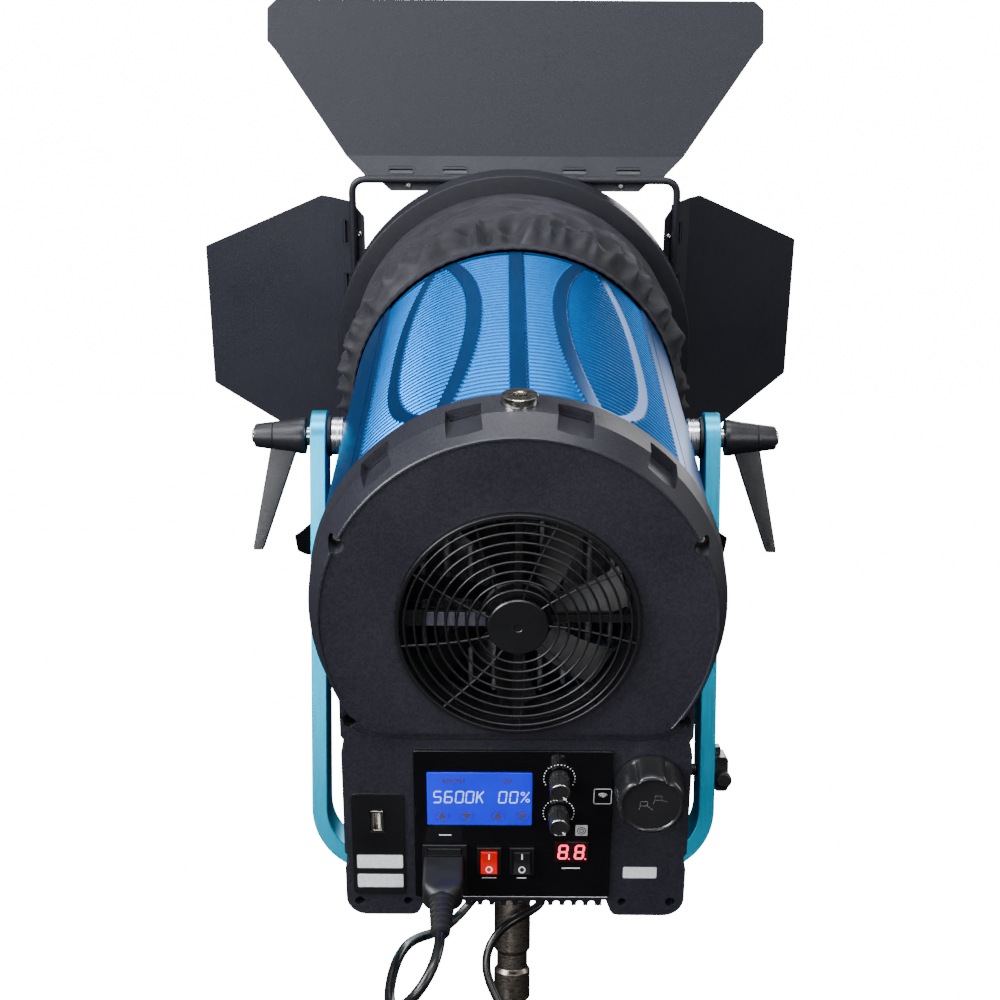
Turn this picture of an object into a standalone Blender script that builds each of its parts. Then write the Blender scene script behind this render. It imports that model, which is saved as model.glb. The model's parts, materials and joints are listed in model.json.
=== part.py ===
"""LED fresnel spotlight in its yoke, at real size.

World frame: metres, +Z up, the light shines towards +Y, and the origin is on the stand pin's axis
at the underside of the yoke. Lamp frame: Y along the optical axis from the rear face, Z square to
it and X to the right seen from behind. The head is pitched front-up between the yoke's arms, so
everything on it is placed in the lamp frame, which hangs from an empty on the tilt pivots.
"""

import math

import bmesh
import bpy
from mathutils import Matrix, Vector

GAP = 0.0003  # between pieces that touch

# Yoke, stand pin and tilt pivots
PIVOT_HEIGHT = 0.338
HEAD_TILT = math.radians(18.0)
PIVOT_Y, PIVOT_Z = 0.290, 0.008  # pivots in the lamp frame
YOKE_INNER = 0.144
YOKE_THICK = 0.012
YOKE_WIDTH = 0.039
YOKE_BEND = 0.050
PIN_RADIUS = 0.0143
PIN_LENGTH = 0.110
PIN_GROOVE = 0.0022
PIN_HOLE = 0.0065
PIN_WAIST = (-0.071, -0.083)
STUD_RADIUS = 0.005
STUD_HOLE = 0.0058
COLLAR_RADIUS = 0.00775
SPACER = (0.0145, 0.1315, 0.1405)  # radius, and the ends' distance from the middle plane
WASHER_RADIUS = 0.016
HUB_ENDS = (0.1603, 0.1995)
LEVER_ROOT = (0.178, 0.0085)  # out from the middle plane, and below the pivot axis
LEVER_LENGTH = 0.080
LEVER_SPLAY = 0.0175
LEVER_RADII = (0.0082, 0.0036)
LEVER_FLATTEN = (1.2, 0.55)  # across the lamp and along it
CLIP_LOW, CLIP_HIGH = 0.0635, 0.0905
CLIP_OUTSIDE = 0.167
CLIP_SCREW = (0.1625, 0.074)

# Rear cover and control box
COVER_RADIUS = 0.1328
COVER_RIM = 0.1237
COVER_SHOULDER = 0.131
COVER_SHOULDER_Y = 0.024
COVER_LENGTH = 0.050
WALL = 0.003
THROUGH = 0.010  # how far a cutter runs past what it cuts
FAN_OPENING = 0.076
BUSH_RADIUS, BUSH_LOW, BUSH_HIGH, BUSH_Y = 0.0112, 0.1200, 0.1365, 0.0382
GRILLE_HUB, GRILLE_RINGS, GRILLE_PITCH, GRILLE_WIRE, GRILLE_SPOKES = 0.0187, 8, 0.0064, 0.0016, 9
GRILLE_Y = (-0.0030, -0.0010)
FAN_Y = (0.0080, 0.0320)
FAN_DUCT, FAN_HUB, FAN_BLADES = 0.0715, 0.023, 7
BOX_HALF = 0.112
BOX_TOP = -0.050
BOX_REAR_Y = 0.004
BOX_FRONT_Y = 0.255
LEG_BOTTOM = -0.221
LEG_INSIDE = 0.062
LEG_CORNER = 0.014
BELLY = -0.2085
PLATEAU_BOTTOM = -0.078

# Barrel tube, bellows and lens
TUBE_RADIUS = 0.1308
TUBE_WALL = 0.003
TUBE_END = 0.3766
BARREL_RADIUS = 0.121
BARREL_WALL = 0.003
BARREL_REAR = 0.190
RING_Y = 0.5167
RING_RADIUS = 0.1575
RING_DEPTH = 0.028
NUT_Y = (0.218, 0.233)
NUT_TRAVEL = (0.154, 0.2475)  # ends of the tube's slot for the nut
LENS_RADIUS = 0.124
APERTURE = 0.112
BELLOWS_REAR_RADIUS = 0.1335
BELLOWS_FRONT_RADIUS = 0.143
BELLOWS_THICK = 0.004

# Control panel
PANEL_BOX = ((-0.066, -0.205), (0.0618, -0.0915))
PANEL_Y = 0.0017
PANEL_THICK = 0.002
FOCUS_AXIS = (0.085, -0.117)
FOCUS_RADIUS = 0.0215
FOCUS_LENGTH = 0.024
FOCUS_SHAFT = 0.004
FOCUS_HOLE = 0.0048
POT_X, POT_HOLE = 0.0274, 0.0038
POT_HEIGHTS = {"dimmer_knob": -0.1113, "color_knob": -0.1377}
ROCKERS = {"power": -0.0174, "fan": 0.0041}
ROCKER_Z = -0.1750
ROCKER_HOLE = (0.0142, 0.0194)
ROCKER_TILT = math.radians(-8.0)
INLET_X, INLET_HALF, INLET_EDGE = -0.0463, 0.0145, 0.0012
INLET_Z = (-0.200, -0.162)
PANE_PROUD = 0.0011
PANES = {
    "lcd_window": ((-0.0575, -0.1470), (0.0102, -0.1070), "blue_screen"),
    "number_display": ((0.0253, -0.1755), (0.0472, -0.1600), "red_lamp"),
    "light_sensor": ((0.0385, -0.1550), (0.0465, -0.1470), "grey_window"),
}
USB_X, USB_Z = -0.090, -0.146

# Barn doors
FRAME_Y = 0.560
FRAME_HALF = 0.144
ROD_RADIUS = 0.0033
ROD_CORNER = 0.010
LEAF_THICK = 0.0016
LEAF_OFFSET = 0.0042  # leaf's middle plane in front of the rod's axis
LEAF_FLANGE = 0.009
LEAF_BASE = -0.0015
LEAF_NOTCH = (0.010, 0.0035)  # clears the lugs of the rod frame
LEAF_TAB = (0.060, 0.118)
KNUCKLE_AT = 0.045
TOP_LEAF = (
    (0.130, LEAF_BASE), (0.134, 0.006), (0.150, 0.023), (0.214, 0.117),
    (0.221, 0.125), (0.221, 0.154), (0.213, 0.162),
)
SIDE_LEAF = ((0.122, LEAF_BASE), (0.1248, 0.035), (0.0675, 0.154))
LEAF_LEAN = {"top_leaf": 26.0, "bottom_leaf": 36.0, "left_leaf": 20.0, "right_leaf": 35.0}

# Mains lead: the stretch that isn't coiled, as points that guide it, then its coil
CORD_RADIUS = 0.0034
CONNECTOR = (-0.047, -0.180)
CONNECTOR_END = -0.0675
CORD_ROUTE = (
    (-0.0470, -0.2822, 0.0486), (-0.0470, -0.2917, 0.0455), (-0.0501, -0.3051, 0.0370),
    (-0.0581, -0.3110, 0.0243), (-0.0681, -0.3070, 0.0121), (-0.0761, -0.2948, 0.0052),
    (-0.0792, -0.2789, 0.0063), (-0.0790, -0.2620, 0.0110), (-0.0770, -0.2400, 0.0145),
    (-0.0730, -0.2120, 0.0140), (-0.0665, -0.1800, 0.0075), (-0.0585, -0.1440, -0.0035),
    (-0.0495, -0.1060, -0.0130), (-0.0420, -0.0700, -0.0185), (-0.0350, -0.0380, -0.0215),
    (-0.0295, -0.0110, -0.0230), (-0.0205, 0.0130, -0.0240), (-0.0030, 0.0255, -0.0250),
    (0.0150, 0.0205, -0.0262), (0.0250, 0.0050, -0.0280), (0.0215, -0.0130, -0.0300),
    (0.0080, -0.0245, -0.0330), (-0.0070, -0.0295, -0.0400), (-0.0175, -0.0330, -0.0520),
    (-0.0215, -0.0360, -0.0670), (-0.0180, -0.0390, -0.0820), (-0.0105, -0.0420, -0.0960),
    (-0.0025, -0.0460, -0.1095), (0.0045, -0.0495, -0.1215),
)
CORD_STEP = 0.012
COIL_RADIUS = 0.0373
COIL_HALF = (0.0066, 0.0104)  # half the bundle of turns, radially and along the coil's axis
COIL_CENTRE = (-0.0260, -0.0470, -0.1600)
PLUG_TOP = (0.0074, -0.0712, -0.1571)

PARTS = bpy.data.collections.new("fresnel_spotlight")
CUTTERS = bpy.data.collections.new("cutters")

# name: colour, roughness, metallic
FINISHES = {
    "blue_anodised": ((0.01, 0.30, 0.66), 0.35, 0.6),
    "black_plastic": ((0.025, 0.025, 0.028), 0.55, 0.0),
    "gloss_black": ((0.01, 0.01, 0.012), 0.08, 0.0),
    "dark_metal": ((0.055, 0.055, 0.07), 0.45, 0.7),
    "rubber_black": ((0.02, 0.02, 0.022), 0.5, 0.0),
    "black_fabric": ((0.03, 0.028, 0.035), 0.9, 0.0),
    "bright_steel": ((0.62, 0.62, 0.62), 0.25, 1.0),
    "aluminium": ((0.6, 0.61, 0.63), 0.4, 1.0),
    "blue_screen": ((0.03, 0.13, 0.8), 0.2, 0.0),
    "red_lamp": ((0.75, 0.01, 0.02), 0.2, 0.0),
    "grey_window": ((0.28, 0.28, 0.3), 0.3, 0.0),
    "clear_glass": ((0.85, 0.92, 0.95), 0.05, 0.0),
    "green_board": ((0.02, 0.2, 0.06), 0.5, 0.0),
    "white_plastic": ((0.8, 0.8, 0.76), 0.4, 0.0),
}


# Scene and frames


def clear_scene():
    for old in list(bpy.data.objects):
        bpy.data.objects.remove(old, do_unlink=True)
    bpy.context.scene.collection.children.link(PARTS)
    bpy.context.scene.collection.children.link(CUTTERS)
    CUTTERS.hide_render = True


def make_finishes():
    for name, (color, roughness, metallic) in FINISHES.items():
        made = bpy.data.materials.new(name)
        made.use_nodes = True
        shader = made.node_tree.nodes["Principled BSDF"]
        shader.inputs["Base Color"].default_value = (*color, 1.0)
        shader.inputs["Roughness"].default_value = roughness
        shader.inputs["Metallic"].default_value = metallic
        made.diffuse_color = (*color, 1.0)


def frame_empty(name, parent=None, location=(0, 0, 0), rotation=(0, 0, 0)):
    empty = bpy.data.objects.new(name, None)
    PARTS.objects.link(empty)
    empty.parent = parent
    empty.location = location
    empty.rotation_euler = rotation
    return empty


# Meshes


def mesh_from(name, fill):
    """A new mesh that fill(bm) makes in a bmesh."""
    bm = bmesh.new()
    fill(bm)
    bmesh.ops.recalc_face_normals(bm, faces=bm.faces)
    mesh = bpy.data.meshes.new(name)
    bm.to_mesh(mesh)
    bm.free()
    return mesh


def block_mesh(low, high, turn=None):
    """A box between two corners, turned about its middle by the matrix if one is given."""
    low, high = Vector(low), Vector(high)
    size = Matrix.Diagonal((*(high - low), 1.0))
    place = Matrix.Translation((low + high) / 2) @ (turn or Matrix.Identity(4)) @ size
    return mesh_from("block", lambda bm: bmesh.ops.create_cube(bm, size=1.0, matrix=place))


def rod_mesh(start, end, radius, end_radius=None, steps=24):
    """A cylinder, or a cone if end_radius is given, between two points."""
    start, end = Vector(start), Vector(end)
    along = end - start
    turn = along.to_track_quat("Z", "Y").to_matrix().to_4x4()
    place = Matrix.Translation((start + end) / 2) @ turn
    far = radius if end_radius is None else end_radius
    return mesh_from(
        "rod",
        lambda bm: bmesh.ops.create_cone(
            bm, cap_ends=True, segments=steps, radius1=radius, radius2=far, depth=along.length, matrix=place
        ),
    )


def mesh_of_curve(curve, matrix=None):
    """The closed mesh of a curve, with its loose caps welded."""
    holder = bpy.data.objects.new("holder", curve)
    bpy.context.scene.collection.objects.link(holder)
    graph = bpy.context.evaluated_depsgraph_get()
    mesh = bpy.data.meshes.new_from_object(holder.evaluated_get(graph))
    bpy.data.objects.remove(holder, do_unlink=True)
    bpy.data.curves.remove(curve)
    bm = bmesh.new()
    bm.from_mesh(mesh)
    bmesh.ops.remove_doubles(bm, verts=bm.verts, dist=1e-6)
    bmesh.ops.recalc_face_normals(bm, faces=bm.faces)
    if matrix:
        bm.transform(matrix)
    bm.to_mesh(mesh)
    bm.free()
    return mesh


def outline_mesh(points, low, high, matrix=None):
    """A flat outline in XY, made solid from z = low to z = high and then placed by the matrix."""
    curve = bpy.data.curves.new("outline", "CURVE")
    curve.dimensions = "2D"
    curve.fill_mode = "BOTH"
    curve.extrude = (high - low) / 2
    spline = curve.splines.new("POLY")
    spline.points.add(len(points) - 1)
    for point, (x, y) in zip(spline.points, points):
        point.co = (x, y, 0, 1)
    spline.use_cyclic_u = True
    lift = Matrix.Translation((0, 0, (low + high) / 2))
    return mesh_of_curve(curve, (matrix or Matrix.Identity(4)) @ lift)


def tube_curve(name, points, radius, closed=False, resolution=2):
    curve = bpy.data.curves.new(name, "CURVE")
    curve.dimensions = "3D"
    curve.bevel_depth = radius
    curve.bevel_resolution = resolution
    curve.use_fill_caps = not closed
    spline = curve.splines.new("POLY")
    spline.points.add(len(points) - 1)
    for point, co in zip(spline.points, points):
        point.co = (*co, 1)
    spline.use_cyclic_u = closed
    return curve


# An outline drawn in XY stands in the XZ plane, its thickness running along -Y
UPRIGHT = Matrix.Rotation(math.radians(90), 4, "X")
# An outline drawn in XY stands in the YZ plane, its thickness running along +X
SIDEWAYS = Matrix(((0, 0, 1, 0), (1, 0, 0, 0), (0, 1, 0, 0), (0, 0, 0, 1)))


def arc(x, y, radius, start, end, steps):
    """Points of an arc, with the angles in degrees."""
    angles = [math.radians(start + (end - start) * i / steps) for i in range(steps + 1)]
    return [(x + radius * math.cos(a), y + radius * math.sin(a)) for a in angles]


def rounded_box(low, high, radius, steps=4):
    (x0, y0), (x1, y1) = low, high
    r = radius
    return (
        arc(x1 - r, y1 - r, r, 0, 90, steps)
        + arc(x0 + r, y1 - r, r, 90, 180, steps)
        + arc(x0 + r, y0 + r, r, 180, 270, steps)
        + arc(x1 - r, y0 + r, r, 270, 360, steps)
    )


# Objects


def add(name, data, finish, parent=None, location=(0, 0, 0), rotation=(0, 0, 0), smooth=True):
    part = bpy.data.objects.new(name, data)
    PARTS.objects.link(part)
    part.parent = parent
    part.location = location
    part.rotation_euler = rotation
    part.data.materials.append(bpy.data.materials[finish])
    if smooth and part.type == "MESH":
        data.shade_smooth()
        data.set_sharp_from_angle(angle=math.radians(35))
    return part


def apply_boolean(part, tools, operation, solver="EXACT"):
    for index, data in enumerate(tools):
        tool = bpy.data.objects.new(f"{part.name}_{operation.lower()}_{index}", data)
        CUTTERS.objects.link(tool)
        tool.parent = part.parent
        tool.location = part.location
        tool.rotation_euler = part.rotation_euler
        tool.hide_render = True
        tool.display_type = "WIRE"
        modifier = part.modifiers.new(f"{operation.title()} {index}", "BOOLEAN")
        modifier.operation = operation
        modifier.solver = solver
        modifier.object = tool


def cut(part, *tools):
    apply_boolean(part, tools, "DIFFERENCE")


def fuse(part, *tools):
    apply_boolean(part, tools, "UNION")


def turned_mesh(profile, steps, closed):
    """A solid turned about Y, from (radius, y) points that run down the outside towards -Y."""
    mesh = bpy.data.meshes.new("profile")
    edges = [(i, i + 1) for i in range(len(profile) - 1)]
    if closed:
        edges.append((len(profile) - 1, 0))
    mesh.from_pydata([(r, 0, y) for r, y in profile], edges, [])
    holder = bpy.data.objects.new("holder", mesh)
    bpy.context.scene.collection.objects.link(holder)
    screw = holder.modifiers.new("Screw", "SCREW")
    screw.steps = screw.render_steps = steps
    screw.use_merge_vertices = True
    screw.merge_threshold = 1e-5
    graph = bpy.context.evaluated_depsgraph_get()
    turned = bpy.data.meshes.new_from_object(holder.evaluated_get(graph))
    bpy.data.objects.remove(holder, do_unlink=True)
    bpy.data.meshes.remove(mesh)
    turned.transform(Matrix.Rotation(math.radians(-90), 4, "X"))
    return turned


def ring_mesh(inner, outer, low, high, steps=32):
    profile = [(inner, high), (outer, high), (outer, low), (inner, low)]
    return turned_mesh(profile, steps, closed=True)


def solid_mesh(profile, steps=32):
    """A solid of revolution about Y: its (radius, y) points run from the +Y end to the -Y end."""
    return turned_mesh([(0, profile[0][1]), *profile, (0, profile[-1][1])], steps, closed=False)


def moved(mesh, x=0.0, y=0.0, z=0.0, turn=None):
    mesh.transform(Matrix.Translation((x, y, z)) @ (turn or Matrix.Identity(4)))
    return mesh


def along_x(side):
    """Turns a +Y axis to point along +X or -X."""
    return Matrix.Rotation(math.radians(-90 * side), 4, "Z")


# Yoke


def make_yoke():
    outer, inner = YOKE_INNER + YOKE_THICK, YOKE_INNER
    bend, inside = YOKE_BEND, YOKE_BEND - YOKE_THICK
    top = PIVOT_HEIGHT + YOKE_WIDTH / 2
    profile = [(-outer, top), (-inner, top)]
    profile += arc(-inner + inside, YOKE_THICK + inside, inside, 180, 270, 6)
    profile += arc(inner - inside, YOKE_THICK + inside, inside, 270, 360, 6)
    profile += [(inner, top), (outer, top)]
    profile += arc(outer - bend, bend, bend, 360, 270, 6)
    profile += arc(-outer + bend, bend, bend, 270, 180, 6)
    half, reach, below = YOKE_WIDTH / 2, 0.2, -0.02
    yoke = add("yoke", outline_mesh(profile, -half, half, UPRIGHT), "blue_anodised")
    side_view = [(half, below), *arc(0, PIVOT_HEIGHT, half, 0, 180, 12), (-half, below)]
    apply_boolean(yoke, [outline_mesh(side_view, -reach, reach, SIDEWAYS)], "INTERSECT")
    stud_hole = rod_mesh((-reach, 0, PIVOT_HEIGHT), (reach, 0, PIVOT_HEIGHT), STUD_HOLE)
    cut(yoke, stud_hole, rod_mesh((0, 0, below), (0, 0, -below), PIN_HOLE))


def make_stand_pin():
    r, waist, slope, chamfer = PIN_RADIUS, PIN_RADIUS - PIN_GROOVE, 0.003, 0.002
    thread, thread_top = 0.006, 0.022
    groove_top, groove_bottom = PIN_WAIST
    profile = [
        (thread, thread_top), (thread, -GAP), (r, -GAP), (r, groove_top + slope), (waist, groove_top),
        (waist, groove_bottom), (r, groove_bottom - slope),
        (r, chamfer - PIN_LENGTH), (r - chamfer, -PIN_LENGTH),
    ]
    upright = Matrix.Rotation(math.radians(90), 4, "X")
    add("stand_pin", moved(solid_mesh(profile, 24), turn=upright), "bright_steel")
    nut_height, nut_radius = 0.008, 0.0115
    nut = rod_mesh((0, 0, YOKE_THICK + GAP), (0, 0, YOKE_THICK + nut_height), nut_radius, steps=6)
    pin_nut = add("pin_nut", nut, "bright_steel", smooth=False)
    cut(pin_nut, rod_mesh((0, 0, 0), (0, 0, 2 * thread_top), thread + GAP))


def make_accessory_clip():
    """A clip on the right arm: a block with a tab, a thumb screw along Y, and the bolt that holds it."""
    face = YOKE_INNER + YOKE_THICK + GAP
    rear, front = -0.012, 0.014
    outline = rounded_box((face, CLIP_LOW), (CLIP_OUTSIDE, CLIP_HIGH), 0.003)
    clip = add("accessory_clip", outline_mesh(outline, rear, front, UPRIGHT), "black_plastic")
    tab_low = (CLIP_OUTSIDE - 0.010, -0.004, CLIP_HIGH - 0.0025)
    tab = block_mesh(tab_low, (CLIP_OUTSIDE - 0.005, 0.008, CLIP_HIGH + 0.0055))
    fuse(clip, tab)
    x, z = CLIP_SCREW
    shank, head, head_end = 0.003, 0.0065, -0.021
    cut(clip, rod_mesh((x, 2 * head_end, z), (x, -2 * head_end, z), shank + 0.0004))
    profile = [
        (shank, -rear - 0.002), (shank, rear - 0.0025), (head, rear - 0.0025), (head, head_end),
        (head - 0.0015, head_end - 0.0015),
    ]
    add("clip_screw", moved(solid_mesh(profile, 20), x=x, z=z), "black_plastic")
    middle = (CLIP_LOW + CLIP_HIGH) / 2
    bolt = rod_mesh((YOKE_INNER - GAP, 0, middle), (YOKE_INNER - 0.006, 0, middle), 0.005, 0.0045, 16)
    add("clip_bolt", bolt, "bright_steel")


# Tilt clamps


def make_tilt_clamp(side, name, head):
    """Spacer, washer, threaded stud and lever on one side; side is -1 on the left and 1 on the right."""
    place = {"y": PIVOT_Y, "z": PIVOT_Z, "turn": along_x(side)}
    radius, near, far = SPACER
    add(f"tilt_spacer_{name}", moved(ring_mesh(STUD_HOLE, radius, near, far, 24), **place), "aluminium", head)
    washer = ring_mesh(STUD_HOLE, WASHER_RADIUS, far + GAP, YOKE_INNER - GAP, 24)
    add(f"tilt_washer_{name}", moved(washer, **place), "rubber_black", head)
    add(f"clamp_stud_{name}", moved(stud_mesh(), **place), "bright_steel", head)
    lever = add(f"clamp_lever_{name}", moved(hub_mesh(), **place), "black_plastic", head)
    fuse(lever, lever_arm(side))


def stud_mesh():
    """Along +Y: thread in the tube's boss, collar against the yoke, and the end in the lever's hub."""
    collar, hub = YOKE_INNER + YOKE_THICK + GAP, HUB_ENDS[0] - GAP
    neck, end, end_start = 0.0040, 0.2020, 0.1910
    profile = [
        (0.0046, end), (0.0058, end - 0.0008), (0.0058, end_start), (neck, end_start), (neck, hub),
        (COLLAR_RADIUS, hub), (COLLAR_RADIUS, collar), (STUD_RADIUS, collar), (STUD_RADIUS, 0.1223),
    ]
    return solid_mesh(profile, 20)


def hub_mesh():
    """The lever's hub tapers outwards, and its bore is wider at the outer end."""
    inner_end, outer_end = HUB_ENDS
    bore, recess, recess_start = 0.0045, 0.0066, 0.1860
    profile = [
        (recess, outer_end), (0.0080, outer_end + 0.0005), (0.00925, outer_end - 0.0010), (0.0125, 0.1720),
        (0.0140, 0.1640), (0.0140, 0.1615), (0.0130, inner_end), (bore, inner_end), (bore, recess_start),
        (recess, recess_start),
    ]
    return turned_mesh(profile, 20, closed=True)


def lever_arm(side):
    """The arm hangs straight down in the yoke's plane and splays outwards, its broad face to the rear."""
    out, below = LEVER_ROOT
    down = Matrix.Rotation(-HEAD_TILT, 3, "X") @ Vector((0, 0, -1))
    root = Vector((side * out, PIVOT_Y, PIVOT_Z)) + down * below
    tip = root + down * LEVER_LENGTH + Vector((side * LEVER_SPLAY, 0, 0))
    arm = rod_mesh(root, tip, *LEVER_RADII, 12)
    upright = Matrix.Rotation(-HEAD_TILT, 4, "X")
    flatten = upright @ Matrix.Diagonal((*LEVER_FLATTEN, 1.0, 1.0)) @ upright.inverted()
    middle = (root + tip) / 2
    shear = Matrix.Translation(middle) @ flatten @ Matrix.Translation(-middle)
    arm.transform(shear)
    return arm


# Rear cover and control box


def box_outline(inset=0.0, top=BOX_TOP):
    """Rear view of the control box, as a closed outline shrunk by inset; two legs with a belly between."""
    half, leg, belly = BOX_HALF - inset, LEG_BOTTOM + inset, BELLY + inset
    inside, step, chamfer = LEG_INSIDE + inset, 0.004, 0.002
    r = LEG_CORNER - inset
    right = arc(half - r, leg + r, r, 360, 270, 5)
    right += [(inside + step, leg), (inside, leg + chamfer), (inside, belly)]
    left = [(-x, z) for x, z in reversed(right)]
    return [(-half, top), (half, top), *right, *left]


def window(x, z, width, height, low=-THROUGH, high=2 * THROUGH):
    """A cutter for a rectangular hole through the rear face, centred on (x, z)."""
    return block_mesh((x - width / 2, low, z - height / 2), (x + width / 2, high, z + height / 2))


def round_hole(x, z, radius, steps=16):
    return rod_mesh((x, -THROUGH, z), (x, 2 * THROUGH, z), radius, steps=steps)


def panel_windows():
    """Cutters for the holes that the control panel and the rear wall behind it share."""
    low, high = INLET_Z
    width, height = 2 * INLET_HALF - 2 * INLET_EDGE, high - low - 2 * INLET_EDGE
    shafts = [round_hole(POT_X, z, POT_HOLE) for z in POT_HEIGHTS.values()]
    rockers = [window(x, ROCKER_Z, *ROCKER_HOLE) for x in ROCKERS.values()]
    return [*shafts, *rockers, window(INLET_X, (low + high) / 2, width, height)]


def make_rear_cover(head):
    """Round shroud and box rear are made overlong, hollowed and then trimmed to length together."""
    long, beyond = COVER_LENGTH + 0.002, 0.2
    outside = [(COVER_RADIUS, long), (COVER_SHOULDER, COVER_SHOULDER_Y), (COVER_RIM, 0.0)]
    cover = add("rear_cover", solid_mesh(outside, 48), "black_plastic", head)
    cut(cover, block_mesh((-beyond, -THROUGH, -beyond), (beyond, BOX_REAR_Y, PLATEAU_BOTTOM)))
    fuse(cover, outline_mesh(box_outline(), -long - 0.001, -BOX_REAR_Y, UPRIGHT))
    flat = BOX_REAR_Y + WALL
    inside = [
        (COVER_RADIUS - WALL, long + 0.003), (COVER_SHOULDER - WALL, COVER_SHOULDER_Y),
        (COVER_RIM - WALL, flat),
    ]
    cut(
        cover,
        solid_mesh(inside, 48),
        outline_mesh(plateau_segment(), -flat - THROUGH, -WALL, UPRIGHT),
        outline_mesh(box_outline(WALL, top=-0.090), -long - 0.004, -flat, UPRIGHT),
        block_mesh((-beyond, COVER_LENGTH, -0.3), (beyond, 2 * COVER_LENGTH, beyond)),
        round_hole(0, 0, FAN_OPENING, 48),
        round_hole(*FOCUS_AXIS, FOCUS_HOLE),
        window(USB_X, USB_Z, 0.0086, 0.0166),
        rod_mesh((0, BUSH_Y, BUSH_LOW - 0.01), (0, BUSH_Y, BUSH_HIGH + 0.01), BUSH_RADIUS + GAP, steps=24),
        *panel_windows(),
        *cover_notches(),
    )


def plateau_segment():
    """Inside of the raised round face: a circle cut off along its straight lower wall."""
    radius, low = COVER_RIM - WALL - 0.0005, PLATEAU_BOTTOM + WALL
    end = math.degrees(math.asin(low / radius))
    return arc(0, 0, radius, end, 180 - end, 40)


def cover_notches():
    """Four shallow rectangular recesses across the cover's top."""
    low, high = (-0.010, 0.008, COVER_RADIUS - 0.0032), (0.010, 0.040, COVER_RADIUS + 0.0072)
    cutters = []
    for degrees in (-42, -15, 15, 42):
        block = block_mesh(low, high)
        block.transform(Matrix.Rotation(math.radians(degrees), 4, "Y"))
        cutters.append(block)
    return cutters


def make_lower_box(head):
    rear, front = COVER_LENGTH + GAP, BOX_FRONT_Y
    shell = outline_mesh(box_outline(top=-0.066), -front, -rear, UPRIGHT)
    box = add("lower_box", shell, "black_plastic", head)
    cut(
        box,
        outline_mesh(box_outline(WALL, top=BOX_TOP), WALL - front, THROUGH - rear, UPRIGHT),
        rod_mesh((0, rear - THROUGH, 0), (0, front + THROUGH, 0), TUBE_RADIUS + 2 * GAP, steps=48),
    )


def make_bottom_heat_sink(head):
    """A finned plate across the belly of the box, its gaps open downwards."""
    gaps, pitch, half, rear, front = 14, 0.0078, 0.0575, 0.010, 0.240
    mouth, floor = 0.0024, 0.0015  # half the width of a gap at its open end and at its root
    top, root, tip = BELLY - GAP, BELLY - 0.0023, BELLY - 0.0052
    points = [(-half, top), (half, top), (half, tip)]
    for i in range(gaps):
        x = (gaps - 1) * pitch / 2 - i * pitch
        points += [(x + mouth, tip), (x + floor, root), (x - floor, root), (x - mouth, tip)]
    points.append((-half, tip))
    add("bottom_heat_sink", outline_mesh(points, -front, -rear, UPRIGHT), "dark_metal", head, smooth=False)


def make_top_bush(head):
    """Nickel bush in the cover's top, its axis square to the optical axis."""
    bore = 0.0045
    profile = [(BUSH_RADIUS, BUSH_HIGH), (BUSH_RADIUS, BUSH_LOW), (bore, BUSH_LOW), (bore, BUSH_HIGH)]
    upright = Matrix.Rotation(math.radians(90), 4, "X")
    add("top_bush", moved(turned_mesh(profile, 24, True), y=BUSH_Y, turn=upright), "bright_steel", head)


# Fan


def make_fan_grille(head):
    """A rim, concentric wires and curved spokes round a hub disc."""
    low, high = GRILLE_Y
    rim = ring_mesh(FAN_OPENING - 0.0030, FAN_OPENING - GAP, low, 0.0020, 32)
    grille = add("fan_grille", rim, "black_plastic", head)
    hub = rod_mesh((0, low, 0), (0, 0.0, 0), GRILLE_HUB, steps=24)
    radii = [FAN_OPENING - 0.0070 - GRILLE_PITCH * i for i in range(GRILLE_RINGS)]
    circles = [
        ring_mesh(r, r + GRILLE_WIRE, low + 0.0002, high, 16 if r < FAN_OPENING / 2 else 22) for r in radii
    ]
    fuse(grille, hub, *circles, *(grille_spoke(i * math.tau / GRILLE_SPOKES) for i in range(GRILLE_SPOKES)))


def grille_spoke(turn):
    """A spoke that curves as it leaves the hub."""
    steps, sweep, half = 2, math.radians(24), 0.0010
    inner, outer = GRILLE_HUB - 0.0027, FAN_OPENING - 0.0015
    sides = ([], [])
    for i in range(steps + 1):
        share = i / steps
        radius = inner + (outer - inner) * share
        angle = turn + sweep * share**1.4
        for side, points in zip((-1, 1), sides):
            across = angle + side * half / radius
            points.append((radius * math.cos(across), radius * math.sin(across)))
    return outline_mesh(sides[0] + sides[1][::-1], 0.0012, 0.0026, UPRIGHT)


def make_fan(head):
    """Square frame with a round duct and four arms to the motor, and a seven-blade impeller."""
    low, high = FAN_Y
    half, motor, arm_end = 0.078, 0.0205, 0.074
    frame = add("fan_frame", block_mesh((-half, low, -half), (half, high, half)), "black_plastic", head)
    cut(frame, rod_mesh((0, 0, 0), (0, 2 * high, 0), FAN_DUCT, steps=40))
    arms = []
    for degrees, width in ((0, 0.0055), (90, 0.0025), (180, 0.0025), (270, 0.0025)):
        arm = block_mesh((-arm_end, low + 0.001, -width), (-motor + 0.0025, low + 0.004, width))
        arm.transform(Matrix.Rotation(math.radians(degrees), 4, "Y"))
        arms.append(arm)
    fuse(frame, rod_mesh((0, low, 0), (0, low + 0.005, 0), motor, steps=24), *arms)
    hub = rod_mesh((0, low + 0.006, 0), (0, high - 0.001, 0), FAN_HUB, steps=24)
    impeller = add("fan_impeller", hub, "black_plastic", head)
    fuse(impeller, *(fan_blade(i * math.tau / FAN_BLADES, low + 0.012) for i in range(FAN_BLADES)))


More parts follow.
